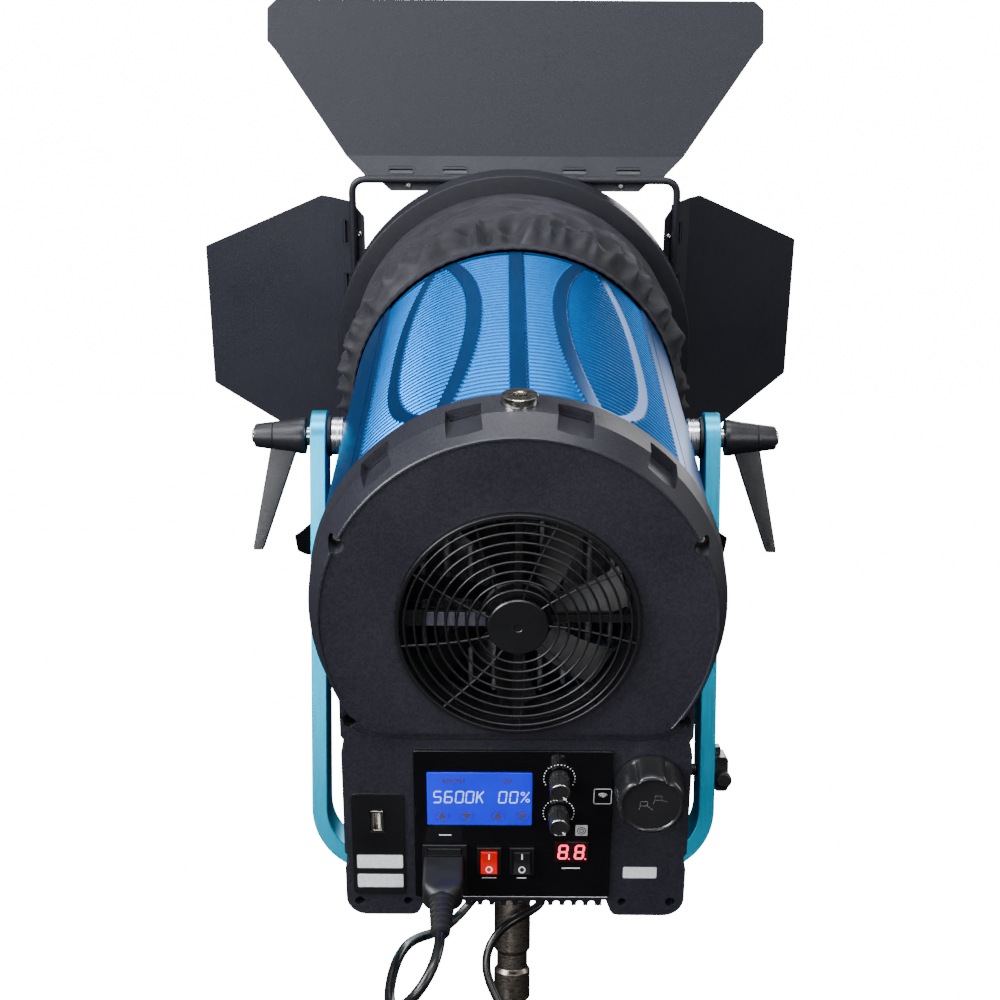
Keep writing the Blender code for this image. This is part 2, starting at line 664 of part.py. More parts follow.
def fan_blade(turn, middle_y):
    """A flat blade pitched about its own length."""
    thick, chord, root, tip = 0.001, 0.011, FAN_HUB - 0.0013, FAN_DUCT - 0.003
    blade = block_mesh((root, -thick, -chord), (tip, thick, chord))
    blade.transform(Matrix.Rotation(math.radians(38), 4, "X"))
    blade.transform(Matrix.Rotation(turn, 4, "Y") @ Matrix.Translation((0, middle_y, 0)))
    return blade


# Light engine and electronics


def make_light_engine(head):
    """Finned sink, the plate that carries it, the LED board with its dome of phosphor, and the reflector."""
    rear, root, front = 0.045, 0.092, 0.100
    core, fin_reach, fin_half = 0.078, 0.074, 0.0014
    sink = add("heat_sink", rod_mesh((0, root, 0), (0, front, 0), core, steps=24), "aluminium", head)
    fins, pitch = 9, 0.015
    blocks = []
    for i in range(fins):
        x = (i - (fins - 1) / 2) * pitch
        reach = math.sqrt(fin_reach**2 - x**2)
        blocks.append(block_mesh((x - fin_half, rear, -reach), (x + fin_half, root + 0.002, reach)))
    fuse(sink, *blocks)
    face, board = front + GAP, 0.026
    plate = ring_mesh(0.045, TUBE_RADIUS - TUBE_WALL - GAP, face, front + 0.004, 32)
    add("engine_plate", plate, "aluminium", head)
    add("led_board", rod_mesh((0, face, 0), (0, front + 0.003, 0), board, steps=20), "white_plastic", head)
    mouth, throat, low, high, thick = 0.036, 0.021, front + 0.0037, front + 0.024, 0.002
    cone = [(mouth - thick, high), (mouth, high), (throat, low), (throat - thick, low)]
    add("reflector", turned_mesh(cone, 24, closed=True), "aluminium", head)


def make_electronics(head):
    supply = block_mesh((-0.055, 0.070, -0.196), (0.055, 0.225, -0.140))
    add("power_supply", supply, "aluminium", head, smooth=False)
    board = block_mesh((-0.064, 0.036, -0.196), (0.058, 0.0376, -0.095))
    add("control_board", board, "green_board", head, smooth=False)


# Controls


def make_control_panel(head):
    outline = rounded_box(*PANEL_BOX, 0.002, 2)
    plate = outline_mesh(outline, -PANEL_Y - PANEL_THICK, -PANEL_Y, UPRIGHT)
    cut(add("control_panel", plate, "gloss_black", head), *panel_windows())
    for name, (low, high, finish) in PANES.items():
        pane = outline_mesh(rounded_box(low, high, 0.0005, 1), GAP - PANEL_Y, PANE_PROUD - PANEL_Y, UPRIGHT)
        add(name, pane, finish, head, smooth=False)


def make_pots(head):
    shaft, shaft_end, base, rim, end = 0.003, 0.024, 0.0068, 0.0064, -0.0152
    profile = [(shaft, shaft_end), (shaft, 0.001), (base, 0.001), (rim, end), (rim - 0.0008, end - 0.001)]
    for name, z in POT_HEIGHTS.items():
        add(name, moved(solid_mesh(profile, 24), x=POT_X, z=z), "black_plastic", head)


def make_rockers(head):
    """Each switch is a hollow frame with a flange on the panel, and a rocker pivoted in it."""
    front, back = PANEL_Y - 0.0020, 0.018
    width, height = ROCKER_HOLE[0] / 2 - GAP, ROCKER_HOLE[1] / 2 - GAP
    flange, rim = 0.0011, 0.0010
    for name, x in ROCKERS.items():
        body = block_mesh((x - width, PANEL_Y - rim, ROCKER_Z - height), (x + width, back, ROCKER_Z + height))
        frame = add(f"{name}_switch_frame", body, "black_plastic", head, smooth=False)
        low = (x - width - flange, front, ROCKER_Z - height - flange)
        high = (x + width + flange, PANEL_Y - GAP, ROCKER_Z + height + flange)
        fuse(frame, block_mesh(low, high))
        half_width, half_height = width - rim, height - rim + 0.0001
        cut(frame, window(x, ROCKER_Z, 2 * half_width, 2 * half_height, high=back - 0.002))
        tilt, play, deep = Matrix.Rotation(ROCKER_TILT, 4, "X"), 0.0004, 0.0030
        low = (x - half_width + play, -deep, ROCKER_Z - half_height + 2 * play)
        high = (x + half_width - play, deep, ROCKER_Z + half_height - 2 * play)
        finish = "red_lamp" if name == "power" else "black_plastic"
        add(f"{name}_rocker", block_mesh(low, high, tilt), finish, head, smooth=False)


def make_power_inlet(head):
    """Mains socket with a fuse drawer above it, in one flanged body."""
    low, high = INLET_Z
    x, half, inset, back = INLET_X, INLET_HALF, 0.0016, 0.030
    front, deep = PANEL_Y - 0.0025, 0.020
    body_low = (x - half + inset, PANEL_Y - 0.001, low + inset)
    body = block_mesh(body_low, (x + half - inset, back, high - inset))
    inlet = add("power_inlet", body, "black_plastic", head, smooth=False)
    fuse(inlet, block_mesh((x - half, front, low), (x + half, PANEL_Y - GAP, high)))
    socket_half, socket_low, socket_high = 0.0124, -0.1895, -0.1712
    socket = block_mesh((x - socket_half, -THROUGH, socket_low), (x + socket_half, deep, socket_high))
    slot_half, slot_low, slot_high = 0.0110, -0.1698, -0.1640
    drawer_slot = block_mesh((x - slot_half, -THROUGH, slot_low), (x + slot_half, deep, slot_high))
    cut(inlet, socket, drawer_slot)
    low = (x - slot_half + GAP, front - 0.0007, slot_low + GAP)
    high = (x + slot_half - GAP, deep - GAP, slot_high - GAP)
    add("fuse_drawer", block_mesh(low, high), "black_plastic", head, smooth=False)


def make_usb_port(head):
    x, z, front = USB_X, USB_Z, 0.0025
    port = add("usb_port", window(x, z, 0.0080, 0.0160, front, 0.018), "bright_steel", head, smooth=False)
    cut(port, window(x, z, 0.0054, 0.0130, front - 0.0025, 0.015))


def make_focus_drive(head):
    """Knob with wavy grip, on a shaft that runs through the box to the barrel's nut."""
    x, z = FOCUS_AXIS
    lobes, steps, wave = 6, 48, 0.0011
    grip = []
    for i in range(steps):
        angle = i * math.tau / steps
        radius = FOCUS_RADIUS + wave * math.cos(lobes * angle)
        grip.append((radius * math.cos(angle), radius * math.sin(angle)))
    rear = BOX_REAR_Y - 0.0010
    shaft_rear, shaft_front = -0.0115, 0.248
    body = outline_mesh(grip, -rear, FOCUS_LENGTH - rear, UPRIGHT)
    knob = add("focus_knob", moved(body, x=x, z=z), "black_plastic", head)
    bore = FOCUS_SHAFT + GAP
    cut(knob, rod_mesh((x, shaft_rear - 0.0005, z), (x, 2 * THROUGH, z), bore, steps=16))
    shaft = rod_mesh((x, shaft_rear, z), (x, shaft_front, z), FOCUS_SHAFT, steps=16)
    add("focus_shaft", shaft, "bright_steel", head)


# Barrel tube, lens barrel and bellows


def make_main_tube(head):
    """Tube with a pivot boss inside each wall, a slot for the focus nut and a hole for the LED's cable."""
    inner = TUBE_RADIUS - TUBE_WALL
    shell = ring_mesh(inner, TUBE_RADIUS, COVER_LENGTH + GAP, TUBE_END, 56)
    tube = add("main_tube", shell, "blue_anodised", head)
    boss_start, boss_end, boss = 0.1223, 0.1285, 0.010
    ends = [((x * boss_start, PIVOT_Y, PIVOT_Z), (x * boss_end, PIVOT_Y, PIVOT_Z)) for x in (-1, 1)]
    fuse(tube, *[rod_mesh(start, end, boss, steps=16) for start, end in ends])
    far = 2 * TUBE_RADIUS
    pivots = rod_mesh((-far, PIVOT_Y, PIVOT_Z), (far, PIVOT_Y, PIVOT_Z), STUD_HOLE, steps=16)
    slot = nut_block(0.110, 0.012, *NUT_TRAVEL)
    cable_x, cable_y, cable_radius = -0.03, 0.075, 0.010
    cable_hole = rod_mesh((cable_x, cable_y, -0.10), (cable_x, cable_y, -0.15), cable_radius, steps=12)
    cut(tube, pivots, slot, cable_hole)


def nut_block(inner, half, low, high, outer=0.150):
    """A block between two radii on the line from the optical axis to the focus shaft."""
    x, z = FOCUS_AXIS
    block = block_mesh((inner, low, -half), (outer, high, half))
    block.transform(Matrix.Rotation(math.atan2(-z, x), 4, "Y"))
    return block


def make_lens_barrel(head):
    """The barrel slides in the tube on a rear glide and a front bush; the nut on the focus shaft moves it."""
    guide = TUBE_RADIUS - TUBE_WALL - GAP
    barrel = ring_mesh(BARREL_RADIUS - BARREL_WALL, BARREL_RADIUS, BARREL_REAR, RING_Y - GAP, 40)
    glide = ring_mesh(BARREL_RADIUS - GAP, guide, BARREL_REAR + 0.002, BARREL_REAR + 0.009, 40)
    fuse(add("lens_barrel", barrel, "dark_metal", head), glide)
    nut_low, nut_high = NUT_Y
    nut = nut_block(0.118, 0.009, nut_low, nut_high)
    focus_nut = add("focus_nut", nut, "white_plastic", head, smooth=False)
    x, z = FOCUS_AXIS
    near, far = nut_low - THROUGH, nut_high + THROUGH
    cut(
        focus_nut,
        rod_mesh((x, near, z), (x, far, z), FOCUS_SHAFT + GAP, steps=16),
        rod_mesh((0, near, 0), (0, far, 0), BARREL_RADIUS + 0.001, steps=48),
    )
    bush = ring_mesh(BARREL_RADIUS + GAP, guide, TUBE_END - 0.014, TUBE_END - 0.001, 40)
    add("tube_bush", bush, "white_plastic", head)


def make_lens_ring(head):
    """Ring plate with a rim that holds the barn doors, the stepped lens behind it and the lens's retainer."""
    rim, depth = 0.0075, RING_DEPTH
    profile = [
        (RING_RADIUS - rim, RING_Y + depth), (RING_RADIUS, RING_Y + depth), (RING_RADIUS, RING_Y),
        (APERTURE, RING_Y), (APERTURE, RING_Y + WALL), (RING_RADIUS - rim, RING_Y + WALL),
    ]
    add("lens_ring", turned_mesh(profile, 52, closed=True), "dark_metal", head)
    seat, edge, crown = RING_Y + WALL + GAP, 0.005, 0.010
    lens = [(0.030, seat + crown), (0.090, seat + 0.007), (LENS_RADIUS, seat + edge), (LENS_RADIUS, seat)]
    add("fresnel_lens", solid_mesh(lens, 32), "clear_glass", head)
    retainer = ring_mesh(APERTURE + 0.001, LENS_RADIUS + 0.006, seat + 0.0085, seat + 0.0105, 32)
    add("lens_retainer", retainer, "dark_metal", head)


def make_bellows(head):
    rear, front, hem = TUBE_END + GAP, RING_Y - GAP, 0.008
    profile = [
        (BELLOWS_FRONT_RADIUS - BELLOWS_THICK, front), (BELLOWS_FRONT_RADIUS, front),
        (0.1400, 0.450), (BELLOWS_REAR_RADIUS, rear + hem), (BELLOWS_REAR_RADIUS, rear),
        (BELLOWS_REAR_RADIUS - BELLOWS_THICK, rear),
    ]
    add("bellows", turned_mesh(profile, 40, closed=True), "black_fabric", head)


# Barn doors


def frame_corner_path():
    """The rod frame's rounded square, as points in the lamp frame."""
    points = rounded_box((-FRAME_HALF, -FRAME_HALF), (FRAME_HALF, FRAME_HALF), ROD_CORNER, 3)
    return [(x, FRAME_Y, z) for x, z in points]


def make_barndoor_frame(head):
    """The ring turns in the lens ring's rim, and four flat lugs hold the rod frame in front of it."""
    front = RING_Y + RING_DEPTH + 0.004
    bore, edge, lug_thick, lug_wide = 0.1335, RING_RADIUS - 0.0085, 0.004, 0.014
    ring = ring_mesh(bore, edge, RING_Y + 0.016, front, 48)
    add("barndoor_ring", ring, "dark_metal", head)
    rod = mesh_of_curve(tube_curve("barndoor_rod", frame_corner_path(), ROD_RADIUS, closed=True))
    rod_frame = add("barndoor_rod", rod, "dark_metal", head)
    lugs = []
    for i in range(4):
        low = (FRAME_HALF - lug_thick / 2, front + GAP, -lug_wide / 2)
        lug = block_mesh(low, (FRAME_HALF + lug_thick / 2, FRAME_Y, lug_wide / 2))
        lug.transform(Matrix.Rotation(math.radians(90 * i), 4, "Y"))
        lugs.append(lug)
    fuse(rod_frame, *lugs)


def leaf_mesh(half_outline):
    """A leaf in its own frame: X along the hinge, Y away from it, its middle plane at z = LEAF_OFFSET."""
    near, far = LEAF_TAB
    half, deep = LEAF_NOTCH
    notch = [(half, deep), (half, LEAF_BASE)]
    rise, fall = 0.004, 0.008
    tab = [(near, LEAF_BASE), (near + rise, -LEAF_FLANGE), (far - fall, -LEAF_FLANGE), (far, LEAF_BASE)]
    right = [*notch, *tab, *half_outline]
    points = right + [(-x, y) for x, y in reversed(right)]
    return outline_mesh(points, LEAF_OFFSET - LEAF_THICK / 2, LEAF_OFFSET + LEAF_THICK / 2)


def make_leaf(name, parent, spin, half_outline):
    """spin turns the top leaf's place round the optical axis; the lean opens it from flat."""
    hinge = frame_empty(f"{name}_hinge", parent, rotation=(0, spin, 0))
    lean = math.radians(LEAF_LEAN[name])
    # The leaf's Y runs up from the rod and its Z points forward, then it leans forward by the lean
    stand = Matrix(((-1, 0, 0, 0), (0, 0, 1, 0), (0, 1, 0, 0), (0, 0, 0, 1)))
    place = Matrix.Translation((0, FRAME_Y, FRAME_HALF)) @ Matrix.Rotation(-lean, 4, "X") @ stand
    plate = leaf_mesh(half_outline)
    plate.transform(place)
    leaf = add(name, plate, "dark_metal", hinge, smooth=False)
    wall, half_wide, knuckles = 0.0018, 0.010, []
    for side in (-1, 1):
        knuckle = ring_mesh(ROD_RADIUS + GAP, ROD_RADIUS + wall, -half_wide, half_wide, 12)
        knuckle.transform(place @ Matrix.Translation((side * KNUCKLE_AT, 0, 0)) @ along_x(1))
        knuckles.append(knuckle)
    apply_boolean(leaf, knuckles, "UNION", "MANIFOLD")


def make_barndoor_leaves(head):
    for name, degrees in (("top_leaf", 0), ("bottom_leaf", 180)):
        make_leaf(name, head, math.radians(degrees), TOP_LEAF)
    for name, degrees in (("left_leaf", -90), ("right_leaf", 90)):
        make_leaf(name, head, math.radians(degrees), SIDE_LEAF)


# Mains lead


def smooth_route(points, step):
    """Points every step along a cubic B-spline that starts and ends at the route's own ends."""
    points = [Vector(p) for p in points]
    ends = [2 * points[0] - points[1], *points, 2 * points[-1] - points[-2]]
    spans, fine = 12, []
    for a, b, c, d in zip(ends, ends[1:], ends[2:], ends[3:]):
        for i in range(spans):
            t = i / spans
            near, far = 3 * t**3 - 6 * t**2 + 4, -3 * t**3 + 3 * t**2 + 3 * t + 1
            fine.append(((1 - t) ** 3 * a + near * b + far * c + t**3 * d) / 6)
    fine.append(points[-1])
    lengths = [0.0]
    for a, b in zip(fine, fine[1:]):
        lengths.append(lengths[-1] + (b - a).length)
    count = round(lengths[-1] / step)
    placed, k = [], 0
    for i in range(count + 1):
        target = lengths[-1] * i / count
        while k < len(fine) - 2 and lengths[k + 1] < target:
            k += 1
        share = (target - lengths[k]) / (lengths[k + 1] - lengths[k])
        placed.append(fine[k].lerp(fine[k + 1], share))
    return placed


def make_connector(head):
    x, z = CONNECTOR
    rear = PANEL_Y - 0.0025 - GAP
    nose = block_mesh((x - 0.0112, rear - 0.004, z - 0.0085), (x + 0.0126, 0.016, z + 0.0078))
    connector = add("cord_connector", nose, "rubber_black", head)
    half_wide, half_high, shell_end, overlap = 0.0130, 0.0095, -0.036, 0.006
    shell = block_mesh((x - half_wide, shell_end, z - half_high), (x + half_wide, rear, z + half_high))
    relief = rod_mesh((x, CONNECTOR_END, z), (x, shell_end + overlap, z), 0.0060, 0.0084, 16)
    fuse(connector, shell, relief)


def make_cord():
    route = smooth_route(CORD_ROUTE, CORD_STEP)
    add("power_cord", tube_curve("power_cord", route, CORD_RADIUS), "rubber_black")
    radial, along = COIL_HALF
    bundle = [
        (COIL_RADIUS + radial * math.cos(a), along * math.sin(a))
        for a in [math.radians(90 - 45 * i) for i in range(8)]
    ]
    add("cord_coil", moved(turned_mesh(bundle, 24, closed=True), *COIL_CENTRE), "rubber_black")


def make_mains_plug():
    """It hangs against the coil's rear face, pins down, with its strain relief at the top."""
    relief, shoulder, base, end = 0.018, 0.024, 0.050, 0.052
    pin_half_pitch, pin_radius, pin_length = 0.0063, 0.0022, 0.017
    profile = [(0.0046, 0.0), (0.0062, -relief), (0.0125, -shoulder), (0.0130, -base), (0.0105, -end)]
    upright = Matrix.Rotation(math.radians(90), 4, "X")
    x, y, z = PLUG_TOP
    plug = add("mains_plug", moved(solid_mesh(profile, 20), x, y, z, upright), "rubber_black")
    for side in (-1, 1):
        pin_x = x + side * pin_half_pitch
        fuse(plug, rod_mesh((pin_x, y, z - base), (pin_x, y, z - end - pin_length), pin_radius, steps=12))


def main():
    clear_scene()
    make_finishes()
    make_yoke()
    make_stand_pin()
    make_accessory_clip()
    tilt = frame_empty("tilt_axis", location=(0, 0, PIVOT_HEIGHT), rotation=(HEAD_TILT, 0, 0))
    head = frame_empty("lamp_frame", tilt, location=(0, -PIVOT_Y, -PIVOT_Z))
    make_tilt_clamp(-1, "left", head)
    make_tilt_clamp(1, "right", head)
    make_rear_cover(head)
    make_lower_box(head)
    make_bottom_heat_sink(head)
    make_top_bush(head)
    make_fan_grille(head)
    make_fan(head)
    make_light_engine(head)
    make_electronics(head)
    make_control_panel(head)
    make_pots(head)
    make_rockers(head)
    make_power_inlet(head)
    make_usb_port(head)
    make_focus_drive(head)
    make_main_tube(head)
    make_lens_barrel(head)
    make_lens_ring(head)
    make_bellows(head)
    make_barndoor_frame(head)
    make_barndoor_leaves(head)
    make_connector(head)
    make_cord()
    make_mains_plug()


main()
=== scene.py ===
"""Looks of the LED fresnel spotlight: fine shapes, fabric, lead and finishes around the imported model.

Most pieces are built in the lamp frame, Y along the optical axis from the rear face and Z square to
it, and are placed by LAMP, which comes from the model's own joints.
"""

import json
import math

import bmesh
import bpy
from mathutils import Matrix, Vector, noise


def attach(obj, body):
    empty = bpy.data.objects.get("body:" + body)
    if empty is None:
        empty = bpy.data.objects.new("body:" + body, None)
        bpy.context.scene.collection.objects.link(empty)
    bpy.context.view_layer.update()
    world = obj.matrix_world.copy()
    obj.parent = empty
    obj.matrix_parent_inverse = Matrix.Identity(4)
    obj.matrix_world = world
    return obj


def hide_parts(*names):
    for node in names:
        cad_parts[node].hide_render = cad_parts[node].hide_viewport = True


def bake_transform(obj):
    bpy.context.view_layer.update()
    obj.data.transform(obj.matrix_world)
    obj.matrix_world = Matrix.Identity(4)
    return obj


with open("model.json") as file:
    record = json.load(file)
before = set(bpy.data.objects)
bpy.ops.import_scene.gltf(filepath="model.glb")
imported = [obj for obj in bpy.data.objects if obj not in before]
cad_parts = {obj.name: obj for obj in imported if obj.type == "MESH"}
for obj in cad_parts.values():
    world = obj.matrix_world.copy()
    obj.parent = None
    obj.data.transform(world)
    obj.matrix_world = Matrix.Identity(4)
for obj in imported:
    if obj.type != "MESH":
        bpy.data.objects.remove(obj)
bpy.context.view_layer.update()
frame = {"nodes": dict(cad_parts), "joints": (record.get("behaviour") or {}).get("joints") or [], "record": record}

MM = 0.001
JOINTS = {joint["name"]: joint for joint in frame["joints"]}
PIVOT = Vector(JOINTS["head_tilt"]["pos_m"])
OPTICAL_AXIS = Vector(JOINTS["focus_slide"]["axis"])
PIVOT_IN_LAMP = Vector((0, 0.290, 0.008))
TILT = math.atan2(OPTICAL_AXIS.z, OPTICAL_AXIS.y)
LAMP = Matrix.Translation(PIVOT) @ Matrix.Rotation(TILT, 4, "X") @ Matrix.Translation(-PIVOT_IN_LAMP)
WORLD = Matrix.Identity(4)
# Turns a +Z axis to point along -Y, so that an outline drawn in XY stands upright
UPRIGHT = Matrix.Rotation(math.radians(90), 4, "X")
NOISE_LOW, NOISE_HIGH = 0.35, 0.65  # most of a noise texture's values lie between these


# Node materials


def map_range(tree, output, before, after):
    """A new output: values between the two in before become values between the two in after."""
    made = tree.nodes.new("ShaderNodeMapRange")
    tree.links.new(output, made.inputs["Value"])
    for name, value in zip(("From Min", "From Max", "To Min", "To Max"), (*before, *after)):
        made.inputs[name].default_value = value
    return made.outputs["Result"]


class Shader:
    """A material's node tree, with short calls for the nodes that the finishes share."""

    def __init__(self, name, color, roughness, metallic=0.0, **constants):
        self.material = bpy.data.materials.new(name)
        self.material.use_nodes = True
        self.tree = self.material.node_tree
        self.surface = self.tree.nodes["Principled BSDF"]
        self.color = color
        self.set("Base Color", (*color, 1.0))
        self.set("Roughness", roughness)
        self.set("Metallic", metallic)
        for socket, value in constants.items():
            self.set(socket.replace("_", " "), value)
        self.place = self.node("ShaderNodeTexCoord").outputs["Object"]

    def node(self, kind, **settings):
        made = self.tree.nodes.new(kind)
        for name, value in settings.items():
            setattr(made, name, value)
        return made

    def set(self, socket, value):
        self.surface.inputs[socket].default_value = value

    def link(self, output, target):
        self.tree.links.new(output, target)

    def stretched(self, scale):
        """Object coordinates scaled by (x, y, z), for grain that runs one way."""
        mapping = self.node("ShaderNodeMapping")
        self.link(self.place, mapping.inputs["Vector"])
        mapping.inputs["Scale"].default_value = scale
        return mapping.outputs["Vector"]

    def noise(self, scale, detail=2.0, where=None):
        made = self.node("ShaderNodeTexNoise")
        self.link(where or self.place, made.inputs["Vector"])
        made.inputs["Scale"].default_value = scale
        made.inputs["Detail"].default_value = detail
        return made.outputs["Fac"]

    def ramp(self, factor, stops):
        made = self.node("ShaderNodeValToRGB")
        self.link(factor, made.inputs["Fac"])
        elements = made.color_ramp.elements
        while len(elements) < len(stops):
            elements.new(0.5)
        for element, (position, color) in zip(elements, stops):
            element.position = position
            element.color = (*color, 1.0)
        return made.outputs["Color"]

    def mottle(self, scale, amount, detail=3.0, where=None):
        """The colour drifts lighter and darker by the amount."""
        low = tuple(c * (1 - amount) for c in self.color)
        high = tuple(min(1.0, c * (1 + amount)) for c in self.color)
        color = self.ramp(self.noise(scale, detail, where), [(NOISE_LOW, low), (NOISE_HIGH, high)])
        self.link(color, self.surface.inputs["Base Color"])

    def rough(self, factor, low, high):
        """Roughness from low to high as the factor rises."""
        output = map_range(self.tree, factor, (NOISE_LOW, NOISE_HIGH), (low, high))
        self.link(output, self.surface.inputs["Roughness"])

    def bump(self, height, distance, strength=1.0):
        made = self.node("ShaderNodeBump")
        made.inputs["Distance"].default_value = distance
        made.inputs["Strength"].default_value = strength
        self.link(height, made.inputs["Height"])
        before = self.surface.inputs["Normal"]
        if before.is_linked:
            self.link(before.links[0].from_socket, made.inputs["Normal"])
        self.link(made.outputs["Normal"], before)


def powder_coat(name, color, roughness):
    """Sprayed metal: a fine orange-peel with lighter specks."""
    shader = Shader(name, color, roughness, 0.0, Specular_IOR_Level=0.42)
    specks = shader.noise(1500, 1.0)
    low = tuple(c * 0.7 for c in color)
    high = tuple(min(1.0, c * 1.7 + 0.004) for c in color)
    tint = shader.ramp(specks, [(0.30, low), (0.55, color), (0.72, high)])
    shader.link(tint, shader.surface.inputs["Base Color"])
    shader.bump(shader.noise(1100, 2.0), 0.00025, 0.55)
    shader.rough(shader.noise(9, 3.0), roughness - 0.06, roughness + 0.06)
    return shader.material


def moulded_plastic(name, color, roughness, texture=1700, depth=0.00018):
    """Spark-eroded mould texture, with smoother patches from handling."""
    shader = Shader(name, color, roughness, 0.0, Specular_IOR_Level=0.5)
    shader.mottle(texture, 0.35, 2.0)
    shader.bump(shader.noise(texture, 3.0), depth, 0.7)
    shader.rough(shader.noise(14, 4.0), roughness - 0.07, roughness + 0.07)
    return shader.material


def smooth_plastic(name, color, roughness):
    """Polished plastic with faint smears."""
    shader = Shader(name, color, roughness, 0.0, Coat_Weight=0.3, Coat_Roughness=0.08)
    shader.mottle(22, 0.15)
    shader.rough(shader.noise(35, 5.0), roughness, roughness + 0.09)
    shader.bump(shader.noise(60, 1.0), 0.0001, 0.12)
    return shader.material


def anodised(name, color, roughness, grain):
    """Dyed aluminium: the metal's drawn grain shows through the dye."""
    shader = Shader(name, color, roughness, 0.92, Specular_IOR_Level=0.5)
    lines = shader.stretched(grain)
    shader.mottle(1.0, 0.05, 2.0, lines)
    shader.rough(shader.noise(6, 2.0), roughness - 0.03, roughness + 0.04)
    shader.bump(shader.noise(1.0, 1.0, lines), 0.00002, 0.12)
    return shader.material


def bare_metal(name, color, roughness, grain=(300, 300, 300)):
    """Plated or machined metal with fine tool marks."""
    shader = Shader(name, color, roughness, 1.0)
    lines = shader.stretched(grain)
    shader.mottle(1.0, 0.10, 3.0, lines)
    shader.rough(shader.noise(1.0, 4.0, lines), roughness * 0.7, roughness * 1.4)
    shader.bump(shader.noise(2.5, 2.0, lines), 0.00004, 0.3)
    return shader.material


def soft_rubber(name, color, roughness):
    """Moulded PVC or rubber, a little greasy."""
    shader = Shader(name, color, roughness, 0.0, Specular_IOR_Level=0.55)
    shader.mottle(60, 0.25)
    shader.rough(shader.noise(45, 4.0), roughness - 0.08, roughness + 0.10)
    shader.bump(shader.noise(900, 2.0), 0.0001, 0.35)
    return shader.material


def woven_fabric(name, color):
    """Coated black cloth: a fine plain weave, with the sheen of its coating on the folds."""
    shader = Shader(
        name, color, 0.72, 0.0, Sheen_Weight=0.07, Sheen_Roughness=0.4, Sheen_Tint=(0.72, 0.70, 0.9, 1)
    )
    threads = []
    for scale in ((2600, 60, 2600), (60, 2600, 60)):
        threads.append(shader.noise(1.0, 1.0, shader.stretched(scale)))
    both = shader.node("ShaderNodeMath", operation="MAXIMUM")
    for index, thread in enumerate(threads):
        shader.link(thread, both.inputs[index])
    shader.mottle(24, 0.35, 5.0)
    shader.bump(both.outputs["Value"], 0.00025, 0.6)
    shader.bump(shader.noise(120, 3.0), 0.0008, 0.35)
    shader.rough(shader.noise(40, 3.0), 0.62, 0.82)
    return shader.material


def lit_window(name, color, strength, roughness=0.12):
    """A lit display: the backlight is a little uneven behind a glossy window."""
    shader = Shader(name, color, roughness, 0.0, Emission_Strength=strength, Coat_Weight=0.4)
    glow = shader.ramp(
        shader.noise(26, 1.0),
        [(0.3, tuple(c * 0.82 for c in color)), (0.7, tuple(min(1.0, c * 1.12) for c in color))],
    )
    shader.link(glow, shader.surface.inputs["Base Color"])
    shader.link(glow, shader.surface.inputs["Emission Color"])
    shader.bump(shader.noise(2200, 1.0), 0.00003, 0.2)
    return shader.material


def printed(name, color):
    """Screen-printed ink."""
    shader = Shader(name, color, 0.5)
    shader.mottle(900, 0.12)
    shader.bump(shader.noise(2500, 1.0), 0.00003, 0.3)
    return shader.material


def lens_glass(name):
    shader = Shader(name, (0.95, 0.97, 0.98), 0.04, 0.0, Transmission_Weight=1.0, IOR=1.49)
    shader.rough(shader.noise(30, 3.0), 0.02, 0.07)
    shader.bump(shader.noise(200, 2.0), 0.00005, 0.15)
    return shader.material


def circuit_board(name):
    shader = Shader(name, (0.01, 0.12, 0.045), 0.35, 0.0, Coat_Weight=0.5)
    cells = shader.node("ShaderNodeTexBrick")
    shader.link(shader.stretched((90, 90, 90)), cells.inputs["Vector"])
    shader.bump(cells.outputs["Fac"], 0.0001, 0.5)
    shader.mottle(160, 0.3)
    return shader.material


def phosphor(name):
    """The yellow phosphor disc of the LED."""
    shader = Shader(name, (0.85, 0.62, 0.06), 0.45)
    shader.mottle(420, 0.12)
    shader.bump(shader.noise(600, 2.0), 0.0002, 0.4)
    return shader.material


